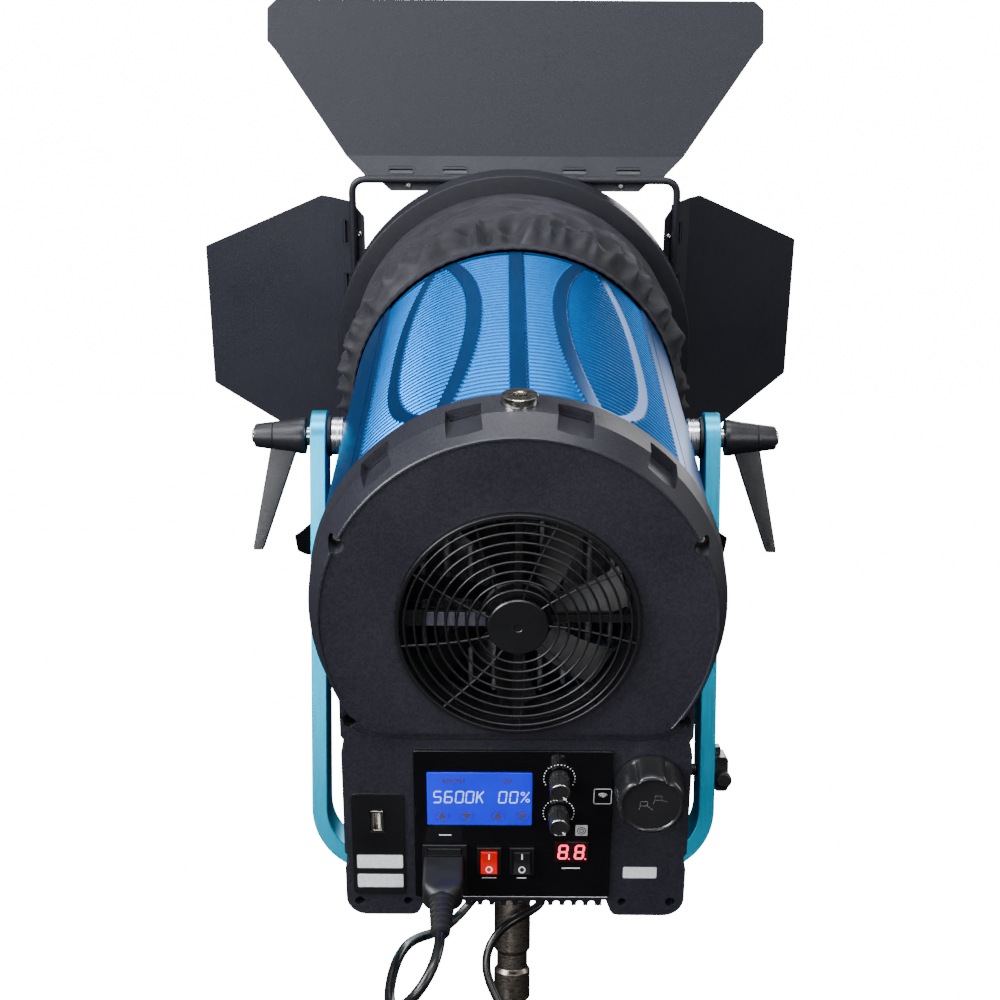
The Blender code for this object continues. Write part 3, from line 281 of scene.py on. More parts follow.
FINISH = {
    "leaf": powder_coat("leaf_powder_coat", (0.0082, 0.0086, 0.0155), 0.52),
    "ring": powder_coat("ring_powder_coat", (0.0088, 0.0092, 0.0145), 0.46),
    "cover": moulded_plastic("cover_plastic", (0.0165, 0.0165, 0.0235), 0.40, 850, 0.0003),
    "box": moulded_plastic("box_plastic", (0.0030, 0.0030, 0.0040), 0.44),
    "black": moulded_plastic("fine_black_plastic", (0.0070, 0.0070, 0.0085), 0.32, 2300, 0.0001),
    "lever": moulded_plastic("lever_plastic", (0.016, 0.016, 0.019), 0.33, 1300, 0.0002),
    "gloss": smooth_plastic("panel_gloss", (0.003, 0.003, 0.004), 0.08),
    "knob": smooth_plastic("knob_plastic", (0.012, 0.012, 0.013), 0.20),
    "blue_yoke": anodised("yoke_anodised", (0.000, 0.560, 0.900), 0.36, (500, 200, 40)),
    "blue_tube": anodised("tube_anodised", (0.000, 0.115, 0.400), 0.33, (400, 40, 400)),
    "nickel": bare_metal("bright_nickel", (0.66, 0.63, 0.58), 0.16),
    "spigot": bare_metal("brushed_steel", (0.27, 0.235, 0.205), 0.30, (260, 260, 2600)),
    "strut": moulded_plastic("strut_plastic", (0.085, 0.085, 0.115), 0.45),
    "machined": bare_metal("machined_aluminium", (0.90, 0.92, 0.95), 0.24, (2, 900, 2)),
    "casting": bare_metal("plain_aluminium", (0.45, 0.46, 0.48), 0.42),
    "rubber": soft_rubber("black_rubber", (0.0065, 0.0065, 0.0080), 0.48),
    "flex": soft_rubber("cord_jacket", (0.008, 0.008, 0.009), 0.22),
    "fabric": woven_fabric("bellows_cloth", (0.0042, 0.0042, 0.0076)),
    "lcd": lit_window("lcd_blue", (0.000, 0.004, 0.9), 0.13),
    "red": lit_window("rocker_red", (0.55, 0.000, 0.001), 0.10, 0.18),
    "red_digit": lit_window("red_digits", (1.0, 0.04, 0.10), 3.2),
    "dark_red": smooth_plastic("display_dark", (0.020, 0.004, 0.005), 0.10),
    "lcd_digit": lit_window("lcd_digits", (0.36, 0.50, 1.0), 1.0),
    "lcd_mark": printed("lcd_marks", (0.10, 0.06, 0.05)),
    "white": printed("white_print", (0.95, 0.95, 0.95)),
    "label": printed("white_label", (0.78, 0.79, 0.82)),
    "grey": printed("grey_print", (0.12, 0.12, 0.13)),
    "sensor": smooth_plastic("sensor_window", (0.50, 0.50, 0.53), 0.15),
    "acetal": moulded_plastic("white_acetal", (0.72, 0.71, 0.66), 0.40, 900),
    "glass": lens_glass("fresnel_glass"),
    "board": circuit_board("circuit_board"),
    "phosphor": phosphor("led_phosphor"),
}


# Meshes


def rotation(degrees, axis):
    return Matrix.Rotation(math.radians(degrees), 4, axis)


def loft(rings, closed=False):
    """A mesh through rings of points, all with the same count. closed joins the last ring to the first."""
    count, total = len(rings[0]), len(rings)
    faces = []
    for i in range(total if closed else total - 1):
        low, high = i * count, (i + 1) % total * count
        for j in range(count):
            k = (j + 1) % count
            faces.append((low + j, low + k, high + k, high + j))
    if not closed:
        faces.append(tuple(reversed(range(count))))
        faces.append(tuple(range((total - 1) * count, total * count)))
    mesh = bpy.data.meshes.new("loft")
    mesh.from_pydata([tuple(point) for ring in rings for point in ring], [], faces)
    return outward(mesh)


def outward(mesh):
    bm = bmesh.new()
    bm.from_mesh(mesh)
    bmesh.ops.recalc_face_normals(bm, faces=bm.faces)
    bm.to_mesh(mesh)
    bm.free()
    return mesh


def turned(profile, steps=96, closed=False):
    """A solid turned about Y from (radius, y) points."""
    angles = [math.tau * i / steps for i in range(steps)]
    rings = [[(r * math.cos(a), y, r * math.sin(a)) for a in angles] for r, y in profile]
    return loft(rings, closed=closed)


def rounded(profile, radius, steps=3):
    """The closed profile with each corner replaced by a small arc."""
    result = []
    for i, corner in enumerate(profile):
        here = Vector(corner)
        near = Vector(profile[i - 1]) - here
        far = Vector(profile[(i + 1) % len(profile)]) - here
        reach = min(radius, near.length / 2.2, far.length / 2.2)
        start, end = here + near.normalized() * reach, here + far.normalized() * reach
        for k in range(steps + 1):
            t = k / steps
            result.append(tuple((1 - t) ** 2 * start + 2 * t * (1 - t) * here + t**2 * end))
    return result


def arc(x, y, radius, start, end, steps):
    angles = [math.radians(start + (end - start) * i / steps) for i in range(steps + 1)]
    return [(x + radius * math.cos(a), y + radius * math.sin(a)) for a in angles]


def circle(x, y, radius, steps):
    return arc(x, y, radius, 0, 360 - 360 / steps, steps - 1)


def rectangle(x, y, width, height):
    across, up = width / 2, height / 2
    return [(x - across, y - up), (x + across, y - up), (x + across, y + up), (x - across, y + up)]


def round_rectangle(low, high, radius, steps=6):
    (x0, y0), (x1, y1) = low, high
    return rounded([(x0, y0), (x1, y0), (x1, y1), (x0, y1)], radius, steps)


def plate(outlines, low, high, place=UPRIGHT):
    """Flat outlines in XY, with any holes inside them, made solid from low to high and then placed."""
    curve = bpy.data.curves.new("outline", "CURVE")
    curve.dimensions = "2D"
    curve.fill_mode = "BOTH"
    curve.extrude = (high - low) / 2
    for outline in outlines:
        spline = curve.splines.new("POLY")
        spline.points.add(len(outline) - 1)
        for point, (x, y) in zip(spline.points, outline):
            point.co = (x, y, 0, 1)
        spline.use_cyclic_u = True
    holder = bpy.data.objects.new("holder", curve)
    bpy.context.scene.collection.objects.link(holder)
    graph = bpy.context.evaluated_depsgraph_get()
    mesh = bpy.data.meshes.new_from_object(holder.evaluated_get(graph))
    bpy.data.objects.remove(holder)
    bpy.data.curves.remove(curve)
    bm = bmesh.new()
    bm.from_mesh(mesh)
    bmesh.ops.remove_doubles(bm, verts=bm.verts, dist=1e-6)
    bmesh.ops.dissolve_limit(bm, angle_limit=math.radians(0.5), verts=bm.verts, edges=bm.edges)
    bmesh.ops.recalc_face_normals(bm, faces=bm.faces)
    bm.transform(place @ Matrix.Translation((0, 0, (low + high) / 2)))
    bm.to_mesh(mesh)
    bm.free()
    return mesh


def prism(outline, near, far):
    """A solid between two lamp Y values, from an outline in X and Z that has no holes."""
    return loft([[(x, y, z) for x, z in outline] for y in (near, far)])


def block(low, high):
    low, high = Vector(low), Vector(high)
    bm = bmesh.new()
    place = Matrix.Translation((low + high) / 2) @ Matrix.Diagonal((*(high - low), 1.0))
    bmesh.ops.create_cube(bm, size=1.0, matrix=place)
    mesh = bpy.data.meshes.new("block")
    bm.to_mesh(mesh)
    bm.free()
    return mesh


def rod(start, end, radius):
    start, end = Vector(start), Vector(end)
    turn = (end - start).to_track_quat("Y", "Z").to_matrix().to_4x4()
    mesh = turned([(radius, 0), (radius, (end - start).length)], 32)
    mesh.transform(Matrix.Translation(start) @ turn)
    return mesh


def sweep(points, radius, sides, closed=False):
    """A tube along the points."""
    points = [Vector(p) for p in points]
    total = len(points)
    rings, side = [], None
    for i, point in enumerate(points):
        before = points[i - 1] if i or closed else point
        after = points[(i + 1) % total] if i < total - 1 or closed else point
        along = (after - before).normalized()
        if side is None:
            side = along.orthogonal()
        side = (side - along * side.dot(along)).normalized()
        up = along.cross(side)
        ring = []
        for k in range(sides):
            a = math.tau * k / sides
            ring.append(point + radius * (math.cos(a) * side + math.sin(a) * up))
        rings.append(ring)
    if closed:
        # The last ring may be turned against the first, so it is joined at the nearest point
        shift = min(range(sides), key=lambda k: (rings[-1][k] - rings[0][0]).length)
        rings = [rings[0][-shift:] + rings[0][:-shift] if shift else rings[0], *rings[1:]]
    return loft(rings, closed=closed)


def joined(*meshes):
    """Several meshes in one, without welding."""
    bm = bmesh.new()
    for mesh in meshes:
        bm.from_mesh(mesh)
    result = bpy.data.meshes.new("joined")
    bm.to_mesh(result)
    bm.free()
    return result


def moved(mesh, matrix):
    mesh.transform(matrix)
    return mesh


def shaped(mesh, tools, operation="DIFFERENCE"):
    """The mesh after a Boolean with each tool."""
    holder = bpy.data.objects.new("holder", mesh)
    bpy.context.scene.collection.objects.link(holder)
    helpers = []
    for tool in tools:
        helper = bpy.data.objects.new("tool", tool)
        bpy.context.scene.collection.objects.link(helper)
        modifier = holder.modifiers.new("Shape", "BOOLEAN")
        modifier.operation = operation
        modifier.solver = "EXACT"
        modifier.object = helper
        helpers.append(helper)
    graph = bpy.context.evaluated_depsgraph_get()
    result = bpy.data.meshes.new_from_object(holder.evaluated_get(graph))
    for helper in [holder, *helpers]:
        bpy.data.objects.remove(helper)
    return result


# Pieces


def piece(name, mesh, finish, body, replaces=(), place=LAMP, bevel=0.0, steps=2, angle=32):
    """A shown piece: its mesh is in the place matrix's frame, and its edges are rounded by bevel metres.
    """
    made = bpy.data.objects.new(name, mesh)
    bpy.context.scene.collection.objects.link(made)
    made.matrix_world = place
    mesh.materials.clear()
    mesh.materials.append(FINISH[finish])
    mesh.shade_smooth()
    mesh.set_sharp_from_angle(angle=math.radians(angle))
    if bevel:
        modifier = made.modifiers.new("Edges", "BEVEL")
        modifier.width = bevel
        modifier.segments = steps
        modifier.limit_method = "ANGLE"
        modifier.angle_limit = math.radians(angle)
        modifier.harden_normals = True
    if body:
        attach(made, body)
    if replaces:
        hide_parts(*replaces)
    return made


def body_of_node(node):
    return next(body for body, nodes in frame["record"]["behaviour"]["bodies"].items() if node in nodes)


def softened(node, finish, bevel=0.0005, steps=2):
    """Stands for a CAD node: the same shape with its flat faces merged and its edges rounded."""
    bm = bmesh.new()
    bm.from_mesh(frame["nodes"][node].data)
    bmesh.ops.remove_doubles(bm, verts=bm.verts, dist=2e-6)
    bmesh.ops.dissolve_limit(bm, angle_limit=math.radians(1.0), verts=bm.verts, edges=bm.edges)
    mesh = bpy.data.meshes.new(node)
    bm.to_mesh(mesh)
    bm.free()
    return piece(f"fine_{node}", mesh, finish, body_of_node(node), [node], WORLD, bevel, steps)


# Camera, light and stage


# Fitted to the photo: metres, degrees, and millimetres for the lens and the sensor
CAMERA_PLACE = (-0.0115, -1.2734, 0.4239)
CAMERA_DOWN, CAMERA_ROLL = 6.05, 0.30
CAMERA_LENS, CAMERA_SENSOR = 59.71, 36
LAMP_MIDDLE = (0, 0, 0.34)
# Name: place, target and size in metres, power in watts, colour
LIGHTS = {
    "key_left": ((-2.3, -1.5, 1.6), LAMP_MIDDLE, (1.4, 1.6), 165, (0.93, 0.95, 1.0)),
    "top_rear": ((-0.3, -1.7, 2.7), LAMP_MIDDLE, (2.2, 0.8), 60, (0.94, 0.96, 1.0)),
    "top": ((0.0, 0.3, 2.7), LAMP_MIDDLE, (2.0, 1.0), 26, (0.95, 0.96, 1.0)),
    "rim_right": ((2.3, 0.3, 1.1), LAMP_MIDDLE, (0.8, 1.6), 14, (1, 1, 1)),
    "camera_side": ((1.1, -2.2, 0.7), (0, 0, 0.2), (0.5, 1.2), 16, (1, 1, 1)),
    "arm_glow": ((-1.1, -2.6, 0.10), (0, 0, 0.20), (2.0, 0.70), 34, (1, 1, 1)),
    "front": ((0.6, 2.6, 1.2), (0, 0.3, 0.4), (1.6, 1.6), 40, (1, 1, 1)),
}
BACKDROP = 16.0  # strength at which the view transform reaches white
# What the lamp mirrors, along two axes: direction from and to, and the strength at each
SURROUNDINGS = (("Z", (-0.25, 0.9), (0.04, 0.75)), ("Y", (-0.5, 0.6), (1.0, 0.14)))
FLOOR_HALF, FLOOR_Z = 30.0, -0.95


def make_camera():
    """Behind the lamp and a little above its tilt axis, looking along +Y."""
    data = bpy.data.cameras.new("camera")
    camera = bpy.data.objects.new("camera", data)
    bpy.context.scene.collection.objects.link(camera)
    data.sensor_width = CAMERA_SENSOR
    data.lens = CAMERA_LENS
    turn = rotation(90 - CAMERA_DOWN, "X") @ rotation(CAMERA_ROLL, "Z")
    camera.matrix_world = Matrix.Translation(CAMERA_PLACE) @ turn
    bpy.context.scene.camera = camera


def area_light(name, place, target, size, power, color):
    data = bpy.data.lights.new(name, "AREA")
    data.shape = "RECTANGLE"
    data.size, data.size_y = size
    data.energy = power
    data.color = color
    light = bpy.data.objects.new(name, data)
    bpy.context.scene.collection.objects.link(light)
    light.location = place
    light.rotation_euler = (Vector(target) - Vector(place)).to_track_quat("-Z", "Y").to_euler()


def make_world():
    """White to the camera. What the lamp mirrors is bright above and behind, dark below and in front."""
    world = bpy.data.worlds.new("studio")
    bpy.context.scene.world = world
    world.use_nodes = True
    tree = world.node_tree
    background = tree.nodes["Background"]
    background.inputs["Color"].default_value = (1, 1, 1, 1)
    place = tree.nodes.new("ShaderNodeTexCoord")
    axes = tree.nodes.new("ShaderNodeSeparateXYZ")
    path = tree.nodes.new("ShaderNodeLightPath")
    chosen = tree.nodes.new("ShaderNodeMix")
    both = tree.nodes.new("ShaderNodeMath")
    both.operation = "MULTIPLY"
    tree.links.new(place.outputs["Generated"], axes.inputs["Vector"])
    for index, (axis, directions, strengths) in enumerate(SURROUNDINGS):
        share = map_range(tree, axes.outputs[axis], directions, strengths)
        tree.links.new(share, both.inputs[index])
    tree.links.new(path.outputs["Is Camera Ray"], chosen.inputs["Factor"])
    tree.links.new(both.outputs["Value"], chosen.inputs["A"])
    chosen.inputs["B"].default_value = BACKDROP
    tree.links.new(chosen.outputs["Result"], background.inputs["Strength"])


def make_floor():
    """Pale floor well below the lamp, which hangs on its stand pin."""
    corners = rectangle(0, 0, 2 * FLOOR_HALF, 2 * FLOOR_HALF)
    mesh = bpy.data.meshes.new("floor")
    mesh.from_pydata([(x, y, FLOOR_Z) for x, y in corners], [], [(0, 1, 2, 3)])
    floor = bpy.data.objects.new("floor", mesh)
    bpy.context.scene.collection.objects.link(floor)
    shader = Shader("pale_floor", (0.90, 0.90, 0.90), 0.8, 0.0, Emission_Strength=BACKDROP)
    shader.mottle(2, 0.015)
    shader.set("Emission Color", (1, 1, 1, 1))
    mesh.materials.append(shader.material)
    floor.visible_glossy = False
    floor.visible_diffuse = False


# Barrel tube

TUBE_RADIUS, TUBE_WALL = 0.1308, 0.003
TUBE_REAR, TUBE_END = 0.0503, 0.3766
RIB_PITCH, RIB_HEIGHT = 0.0070, 0.0016
# Rows of the mesh across one rib: share of the pitch and share of the height
RIB_ROWS = ((0.00, 0.0), (0.34, 0.0), (0.46, 0.50), (0.58, 0.92), (0.68, 1.0), (0.80, 0.75), (0.92, 0.05))
BAND_HALF = 2.2  # degrees
# Degrees from the top line: edges of the rib fields and of the smooth sides, and the seams
RIB_FIELD_EDGE, SIDE_EDGE, SEAM_AT = 50.0, 118, 53.4
SEAM_DEPTH = 0.0012
SKIN = 0.0006  # the bands lie this far under the radius, and the smooth sides stand level with it


def inner_band(y):
    """Angle of the S-shaped band from the top line, in degrees, at a distance in mm along the tube."""
    waist = y - 226
    return 13.6 + (6.6 * (waist / 160) ** 2 if waist < 0 else 8.4 * (waist / 139) ** 2.3)


def outer_band(y):
    """Angle of the band round the outside of the drop-shaped rib field."""
    widest = y - 165
    if widest < 0:
        return 25 + 15 * math.sqrt(max(0.0, 1 - (widest / 112) ** 2))
    return 40 - 9.5 * (widest / 206) ** 2.6


def rib_share(angle, y):
    """1 on a rib field, 0 on a smooth band or side panel, with a short slope between."""
    a, y = abs(math.degrees(angle)), y / MM
    if a > SIDE_EDGE:
        return min(1.0, max(0.0, (a - SIDE_EDGE - 4) / 0.6)) if y > 262 else 0.0
    inner, outer = abs(a - inner_band(y)), abs(a - outer_band(y))
    clear = min(a - BAND_HALF, inner - BAND_HALF, outer - BAND_HALF * 0.8, RIB_FIELD_EDGE - a)
    if inner_band(y) < a < outer_band(y):
        clear = min(clear, (y - 59) / 3)
    return min(1.0, max(0.0, clear / 0.45))


def tube_angles():
    """Angles round the tube: fine over the rib fields on top, coarse elsewhere, with the seams' edges."""
    fine = [math.radians(-51 + 0.30 * i) for i in range(341)]
    seams = [math.radians(side * (SEAM_AT + d)) for side in (-1, 1) for d in (-0.25, -0.15, 0.15, 0.25)]
    sides = [math.radians(side * (56 + 3.0 * i)) for side in (-1, 1) for i in range(42)]
    return sorted([*fine, *seams, *sides])


def along_pivot(side):
    """Places a solid turned about Y on the tilt axis, pointing out to the left (-1) or right (1)."""
    return LAMP @ Matrix.Translation(PIVOT_IN_LAMP) @ rotation(-90 * side, "Z")


def tube_ring(angles, y, height):
    """The tube's outside at one y, where the ribs stand at a share of their height."""
    ring = []
    for angle in angles:
        a = abs(math.degrees(angle))
        r = TUBE_RADIUS - SKIN - rib_share(angle, y) * RIB_HEIGHT * (1 - height)
        if abs(a - SEAM_AT) < 0.2:
            r -= SEAM_DEPTH
        if RIB_FIELD_EDGE < a < SIDE_EDGE:
            r += SKIN
        ring.append((r * math.sin(angle), y, r * math.cos(angle)))
    return ring


def make_tube():
    rows = [TUBE_REAR, TUBE_REAR + 0.002]
    first = TUBE_REAR + 0.004
    for i in range(int((TUBE_END - 0.006 - first) / RIB_PITCH)):
        rows += [first + (i + share) * RIB_PITCH for share, _ in RIB_ROWS]
    rows += [TUBE_END - 0.004, TUBE_END - 0.001]
    ribs = (len(rows) - 4) // len(RIB_ROWS)
    heights = [0.0, 0.0, *[height for _, height in RIB_ROWS] * ribs, 0.0, 0.0]
    angles = tube_angles()
    rings = [tube_ring(angles, y, height) for y, height in zip(rows, heights)]
    inner = TUBE_RADIUS - TUBE_WALL
    ends = [(TUBE_END, TUBE_RADIUS - 0.0014), (TUBE_END, inner)]
    ends += [(TUBE_REAR, inner), (TUBE_REAR, TUBE_RADIUS - 0.001)]
    for y, r in ends:
        rings.append([(r * math.sin(a), y, r * math.cos(a)) for a in angles])
    tube = loft(rings, closed=True)
    piece("ribbed_tube", tube, "blue_tube", "head", ["main_tube"], angle=40)
    for side in (-1, 1):
        boss = rounded([(0.0062, 0.1225), (0.0115, 0.1225), (0.0115, 0.1318), (0.0062, 0.1318)], 0.0006)
        name = f"pivot_boss_{'left' if side < 0 else 'right'}"
        piece(name, turned(boss, 40, True), "casting", "head", place=along_pivot(side))


# Rear cover and control box

COVER_RADIUS, COVER_SHOULDER, COVER_RIM = 0.1328, 0.1310, 0.1240
COVER_SHOULDER_Y, COVER_LENGTH = 0.024, 0.050
LIP_WIDTH, LIP_HEIGHT = 0.0020, 0.0007
WALL = 0.003
FAN_OPENING = 0.076
BOX_HALF, BOX_TOP, BOX_REAR_Y, BOX_FRONT_Y = 0.112, -0.050, 0.004, 0.255
LEG_BOTTOM, LEG_INSIDE, LEG_CORNER, BELLY = -0.221, 0.062, 0.014, -0.2085
PLATEAU_BOTTOM, PLATEAU_CORNER = -0.078, 0.030
GROOVE_WIDTH, GROOVE_DEPTH = 0.0065, 0.0015
# Screw wells in the rear face: x, z, radius
WELLS = ((0.110, 0.053, 0.0052), (0.105, -0.071, 0.0048), (0.103, -0.210, 0.0034), (0.071, -0.210, 0.0030))
WELL_DEPTH = 0.016
# Middles of the round scoops in the box's sides: x, z
SIDE_SCOOPS = ((-0.1178, -0.0885), (-0.1178, -0.1775), (0.1178, -0.0885), (0.1178, -0.1775))
POCKET_HALF, POCKET_FLOOR = 0.0112, 0.1262
POCKETS_AT = (-42, -15, 15, 42)  # degrees from the top line
BUSH_Y = 0.0382
FOCUS_AXIS = (0.085, -0.117)
USB_X, USB_Z = -0.090, -0.146
PANEL_LOW, PANEL_HIGH = (-0.066, -0.205), (0.0618, -0.0915)
PANEL_Y, PANEL_THICK = 0.0017, 0.002
POT_X = 0.0274
POT_HEIGHTS = {"dimmer": -0.1113, "color": -0.1377}
ROCKERS = {"power": -0.0174, "fan": 0.0041}
ROCKER_Z = -0.1750
ROCKER_TILT = -8  # degrees
INLET_X, INLET_HALF, INLET_Z = -0.0463, 0.0145, (-0.200, -0.162)


def box_outline(inset=0.0, top=BOX_TOP):
    """Rear view of the control box: two rounded legs with a belly between them."""
    half, leg, belly, r = BOX_HALF - inset, LEG_BOTTOM + inset, BELLY + inset, LEG_CORNER - inset
    inside = LEG_INSIDE + inset
    right = arc(half - r, leg + r, r, 0, -90, 12)
    right += [(inside + 0.007, leg), (inside + 0.003, leg + 0.001)]
    right += [(inside + 0.001, leg + 0.004), (inside - 0.002, belly)]
    left = [(-x, z) for x, z in reversed(right)]
    return [(-half, top), (half, top), *right, *left]


def plateau_edge(away=0.0):
    """Lower edge of the raised round face: straight, with a rounded corner up to the rim at each end."""
    radius = PLATEAU_CORNER + away
    up = PLATEAU_BOTTOM + PLATEAU_CORNER
    across = math.sqrt((COVER_RIM - PLATEAU_CORNER) ** 2 - up**2)
    turn = math.degrees(math.atan2(-up, across))
    corner = arc(across, up, radius, -turn, -90, 10)
    return corner + [(-x, z) for x, z in reversed(corner)]


def panel_holes():
    """Outlines of the holes that the panel and the box's rear wall share."""
    low, high = INLET_Z
    holes = [circle(POT_X, z, 0.0038, 24) for z in POT_HEIGHTS.values()]
    holes += [rectangle(x, ROCKER_Z, 0.0142, 0.0194) for x in ROCKERS.values()]
    holes.append(rectangle(INLET_X, (low + high) / 2, 2 * INLET_HALF - 0.0024, high - low - 0.0024))
    return holes


def around_cover(low, high):
    """The same block at four places across the top of the cover."""
    return [moved(block(low, high), rotation(degrees, "Y")) for degrees in POCKETS_AT]


def cover_notches():
    """Four pockets across the top, each with a shallow slot across its floor near the front."""
    pockets = around_cover((-POCKET_HALF, 0.0070, POCKET_FLOOR), (POCKET_HALF, 0.0400, 0.14))
    half = POCKET_HALF - 0.0016
    return pockets + around_cover((-half, 0.0345, POCKET_FLOOR - 0.0010), (half, 0.0385, 0.131))


def cover_body():
    """The cover without its openings: a round part whose lower rear face steps back, and the box."""
    deep = COVER_LENGTH + 0.002
    lip = COVER_RIM - LIP_WIDTH
    profile = [(COVER_RADIUS, deep), (COVER_SHOULDER, COVER_SHOULDER_Y), (COVER_RIM, 0.0009)]
    profile += [(COVER_RIM - 0.0008, 0), (lip, 0), (lip - 0.0006, LIP_HEIGHT)]
    edge = plateau_edge()
    far = 0.16
    side_z = edge[0][1] * far / edge[0][0]
    below = [(far, side_z), *edge, (-far, side_z), (-far, -0.2), (far, -0.2)]
    round_part = shaped(turned(profile, 160), [prism(below, -0.01, BOX_REAR_Y)])
    return shaped(round_part, [prism(box_outline(), BOX_REAR_Y, deep + 0.001)], "UNION")


def cover_hollows(wells):
    """The space inside, less the bosses round the screws, the pockets' backs and the panel's wall."""
    deep = COVER_LENGTH + 0.002
    hollow = [(COVER_RADIUS - WALL, deep + 0.003), (COVER_SHOULDER - WALL, COVER_SHOULDER_Y)]
    hollow.append((COVER_RIM - WALL, WALL))
    bosses = [prism(circle(x, z, r + 0.0016, 32), WALL / 2, 0.030) for x, z, r in wells]
    pocket_backs = around_cover((-0.0135, 0.0, POCKET_FLOOR - 0.0025), (0.0135, 0.0430, 0.14))
    behind_panel = block((-0.2, -0.01, -0.2), (0.2, BOX_REAR_Y + WALL, PLATEAU_BOTTOM + WALL))
    round_hollow = shaped(turned(hollow, 160), [*bosses, behind_panel, *pocket_backs])
    box_hollow = shaped(prism(box_outline(WALL, -0.090), BOX_REAR_Y + WALL, deep + 0.002), bosses)
    return [round_hollow, box_hollow]


def make_rear_cover():
    wells = [(side * x, z, r) for x, z, r in WELLS for side in (-1, 1)]
    groove = plateau_edge() + plateau_edge(GROOVE_WIDTH)[::-1]
    tools = [
        *cover_hollows(wells),
        block((-0.2, COVER_LENGTH, -0.3), (0.2, COVER_LENGTH + 0.05, 0.2)),
        prism(circle(0, 0, FAN_OPENING, 120), -0.01, 0.02),
        prism(circle(*FOCUS_AXIS, 0.0048, 24), -0.01, 0.02),
        prism(rectangle(USB_X, USB_Z, 0.0086, 0.0166), -0.01, 0.02),
        prism(groove, -0.01, BOX_REAR_Y + GROOVE_DEPTH),
        moved(prism(circle(0, -BUSH_Y, 0.0115, 48), 0.11, 0.15), UPRIGHT),
        *[prism(hole, -0.01, 0.02) for hole in panel_holes()],
        *[prism(circle(x, z, r, 32), -0.01, WELL_DEPTH) for x, z, r in wells],
        *[prism(circle(x, z, 0.0085, 32), -0.01, 0.06) for x, z in SIDE_SCOOPS],
        *cover_notches(),
    ]
    cover = shaped(cover_body(), tools)
    piece("rear_cover_shell", cover, "cover", "head", ["rear_cover"], bevel=0.0005, angle=8)
    screws = []
    for x, z, r in wells:
        screws.append(moved(screw_head(r * 0.72), Matrix.Translation((x, WELL_DEPTH - 0.0002, z))))
    piece("cover_screws", joined(*screws), "nickel", "head")


def screw_head(radius):
    """A button-head screw with a socket, its seat at y = 0 and its head towards -Y."""
    top = -radius * 0.62
    head = [(1, 0), (1, 0.45), (0.72, 1), (0.48, 1), (0.42, 0.35)]
    return turned([(radius * out, top * up) for out, up in head], 24)


def make_panel():
    thick_edge = round_rectangle(PANEL_LOW, PANEL_HIGH, 0.0022)
    panel = plate([thick_edge, *panel_holes()], -PANEL_Y - PANEL_THICK, -PANEL_Y)
    piece("gloss_panel", panel, "gloss", "head", ["control_panel"], bevel=0.0004)
    low, high = (-0.1068, -0.2040), (-0.0725, -0.1250)
    window = rectangle(USB_X, USB_Z, 0.0092, 0.0172)
    usb_plate = plate([round_rectangle(low, high, 0.004), window], -BOX_REAR_Y, 0.0009 - BOX_REAR_Y)
    piece("usb_plate", usb_plate, "box", "head", bevel=0.0003)
    labels = []
    for (x0, z0), (x1, z1), y in (
        ((-0.104, -0.1828), (-0.074, -0.1726), BOX_REAR_Y - 0.0009),
        ((-0.104, -0.1981), (-0.074, -0.1878), BOX_REAR_Y - 0.0009),
        ((0.0708, -0.1905), (0.0929, -0.1818), BOX_REAR_Y),
    ):
        labels.append(prism(round_rectangle((x0, z0), (x1, z1), 0.0011), y - 0.00025, y + 0.0001))
    piece("blank_labels", joined(*labels), "label", "head")


# Displays and print

MARK_HEIGHT = 0.00012
LCD_LOW, LCD_HIGH = (-0.0575, -0.1470), (0.0102, -0.1070)
NUMBER_LOW, NUMBER_HIGH = (0.0253, -0.1755), (0.0472, -0.1600)
DISPLAY_Y = PANEL_Y - 0.0011
# Lit segments of each digit: a top, b c right, d bottom, e f left, g middle
SEGMENTS = {"0": "abcdef", "5": "afgcd", "6": "afgedc", "8": "abcdefg"}


def stroke(start, end, width):
    """A straight bar with pointed ends, as an outline."""
    start, end = Vector(start), Vector(end)
    along = (end - start).normalized() * width / 2
    side = Vector((-along.y, along.x))
    corners = (start - along, start + side, end + side, end + along, end - side, start - side)
    return [tuple(corner) for corner in corners]


def seven_segments(digit, x, z, width, height, line, slant=0.10):
    """Outlines of a digit whose lower left corner is at (x, z)."""
    def at(u, v):
        return (x + u * width + slant * v * height, z + v * height)

    gap = line / height * 0.62
    ends = {
        "a": (at(0.12, 1), at(0.88, 1)), "d": (at(0.12, 0), at(0.88, 0)),
        "g": (at(0.12, 0.5), at(0.88, 0.5)),
        "b": (at(1, 1 - gap), at(1, 0.5 + gap)), "c": (at(1, 0.5 - gap), at(1, gap)),
        "f": (at(0, 1 - gap), at(0, 0.5 + gap)), "e": (at(0, 0.5 - gap), at(0, gap)),
    }
    return [stroke(*ends[name], line) for name in SEGMENTS[digit]]


def print_piece(name, outlines, y, finish, body="head", place=LAMP):
    shapes = [prism(outline, y - MARK_HEIGHT, y + 0.00005) for outline in outlines]
    piece(name, joined(*shapes), finish, body, place=place)


def ring_outline(x, z, radius, line, start=0, end=360, parts=24):
    """A thin ring or arc as a row of short bars."""
    points = arc(x, z, radius, start, end, parts)
    return [stroke(a, b, line) for a, b in zip(points, points[1:])]


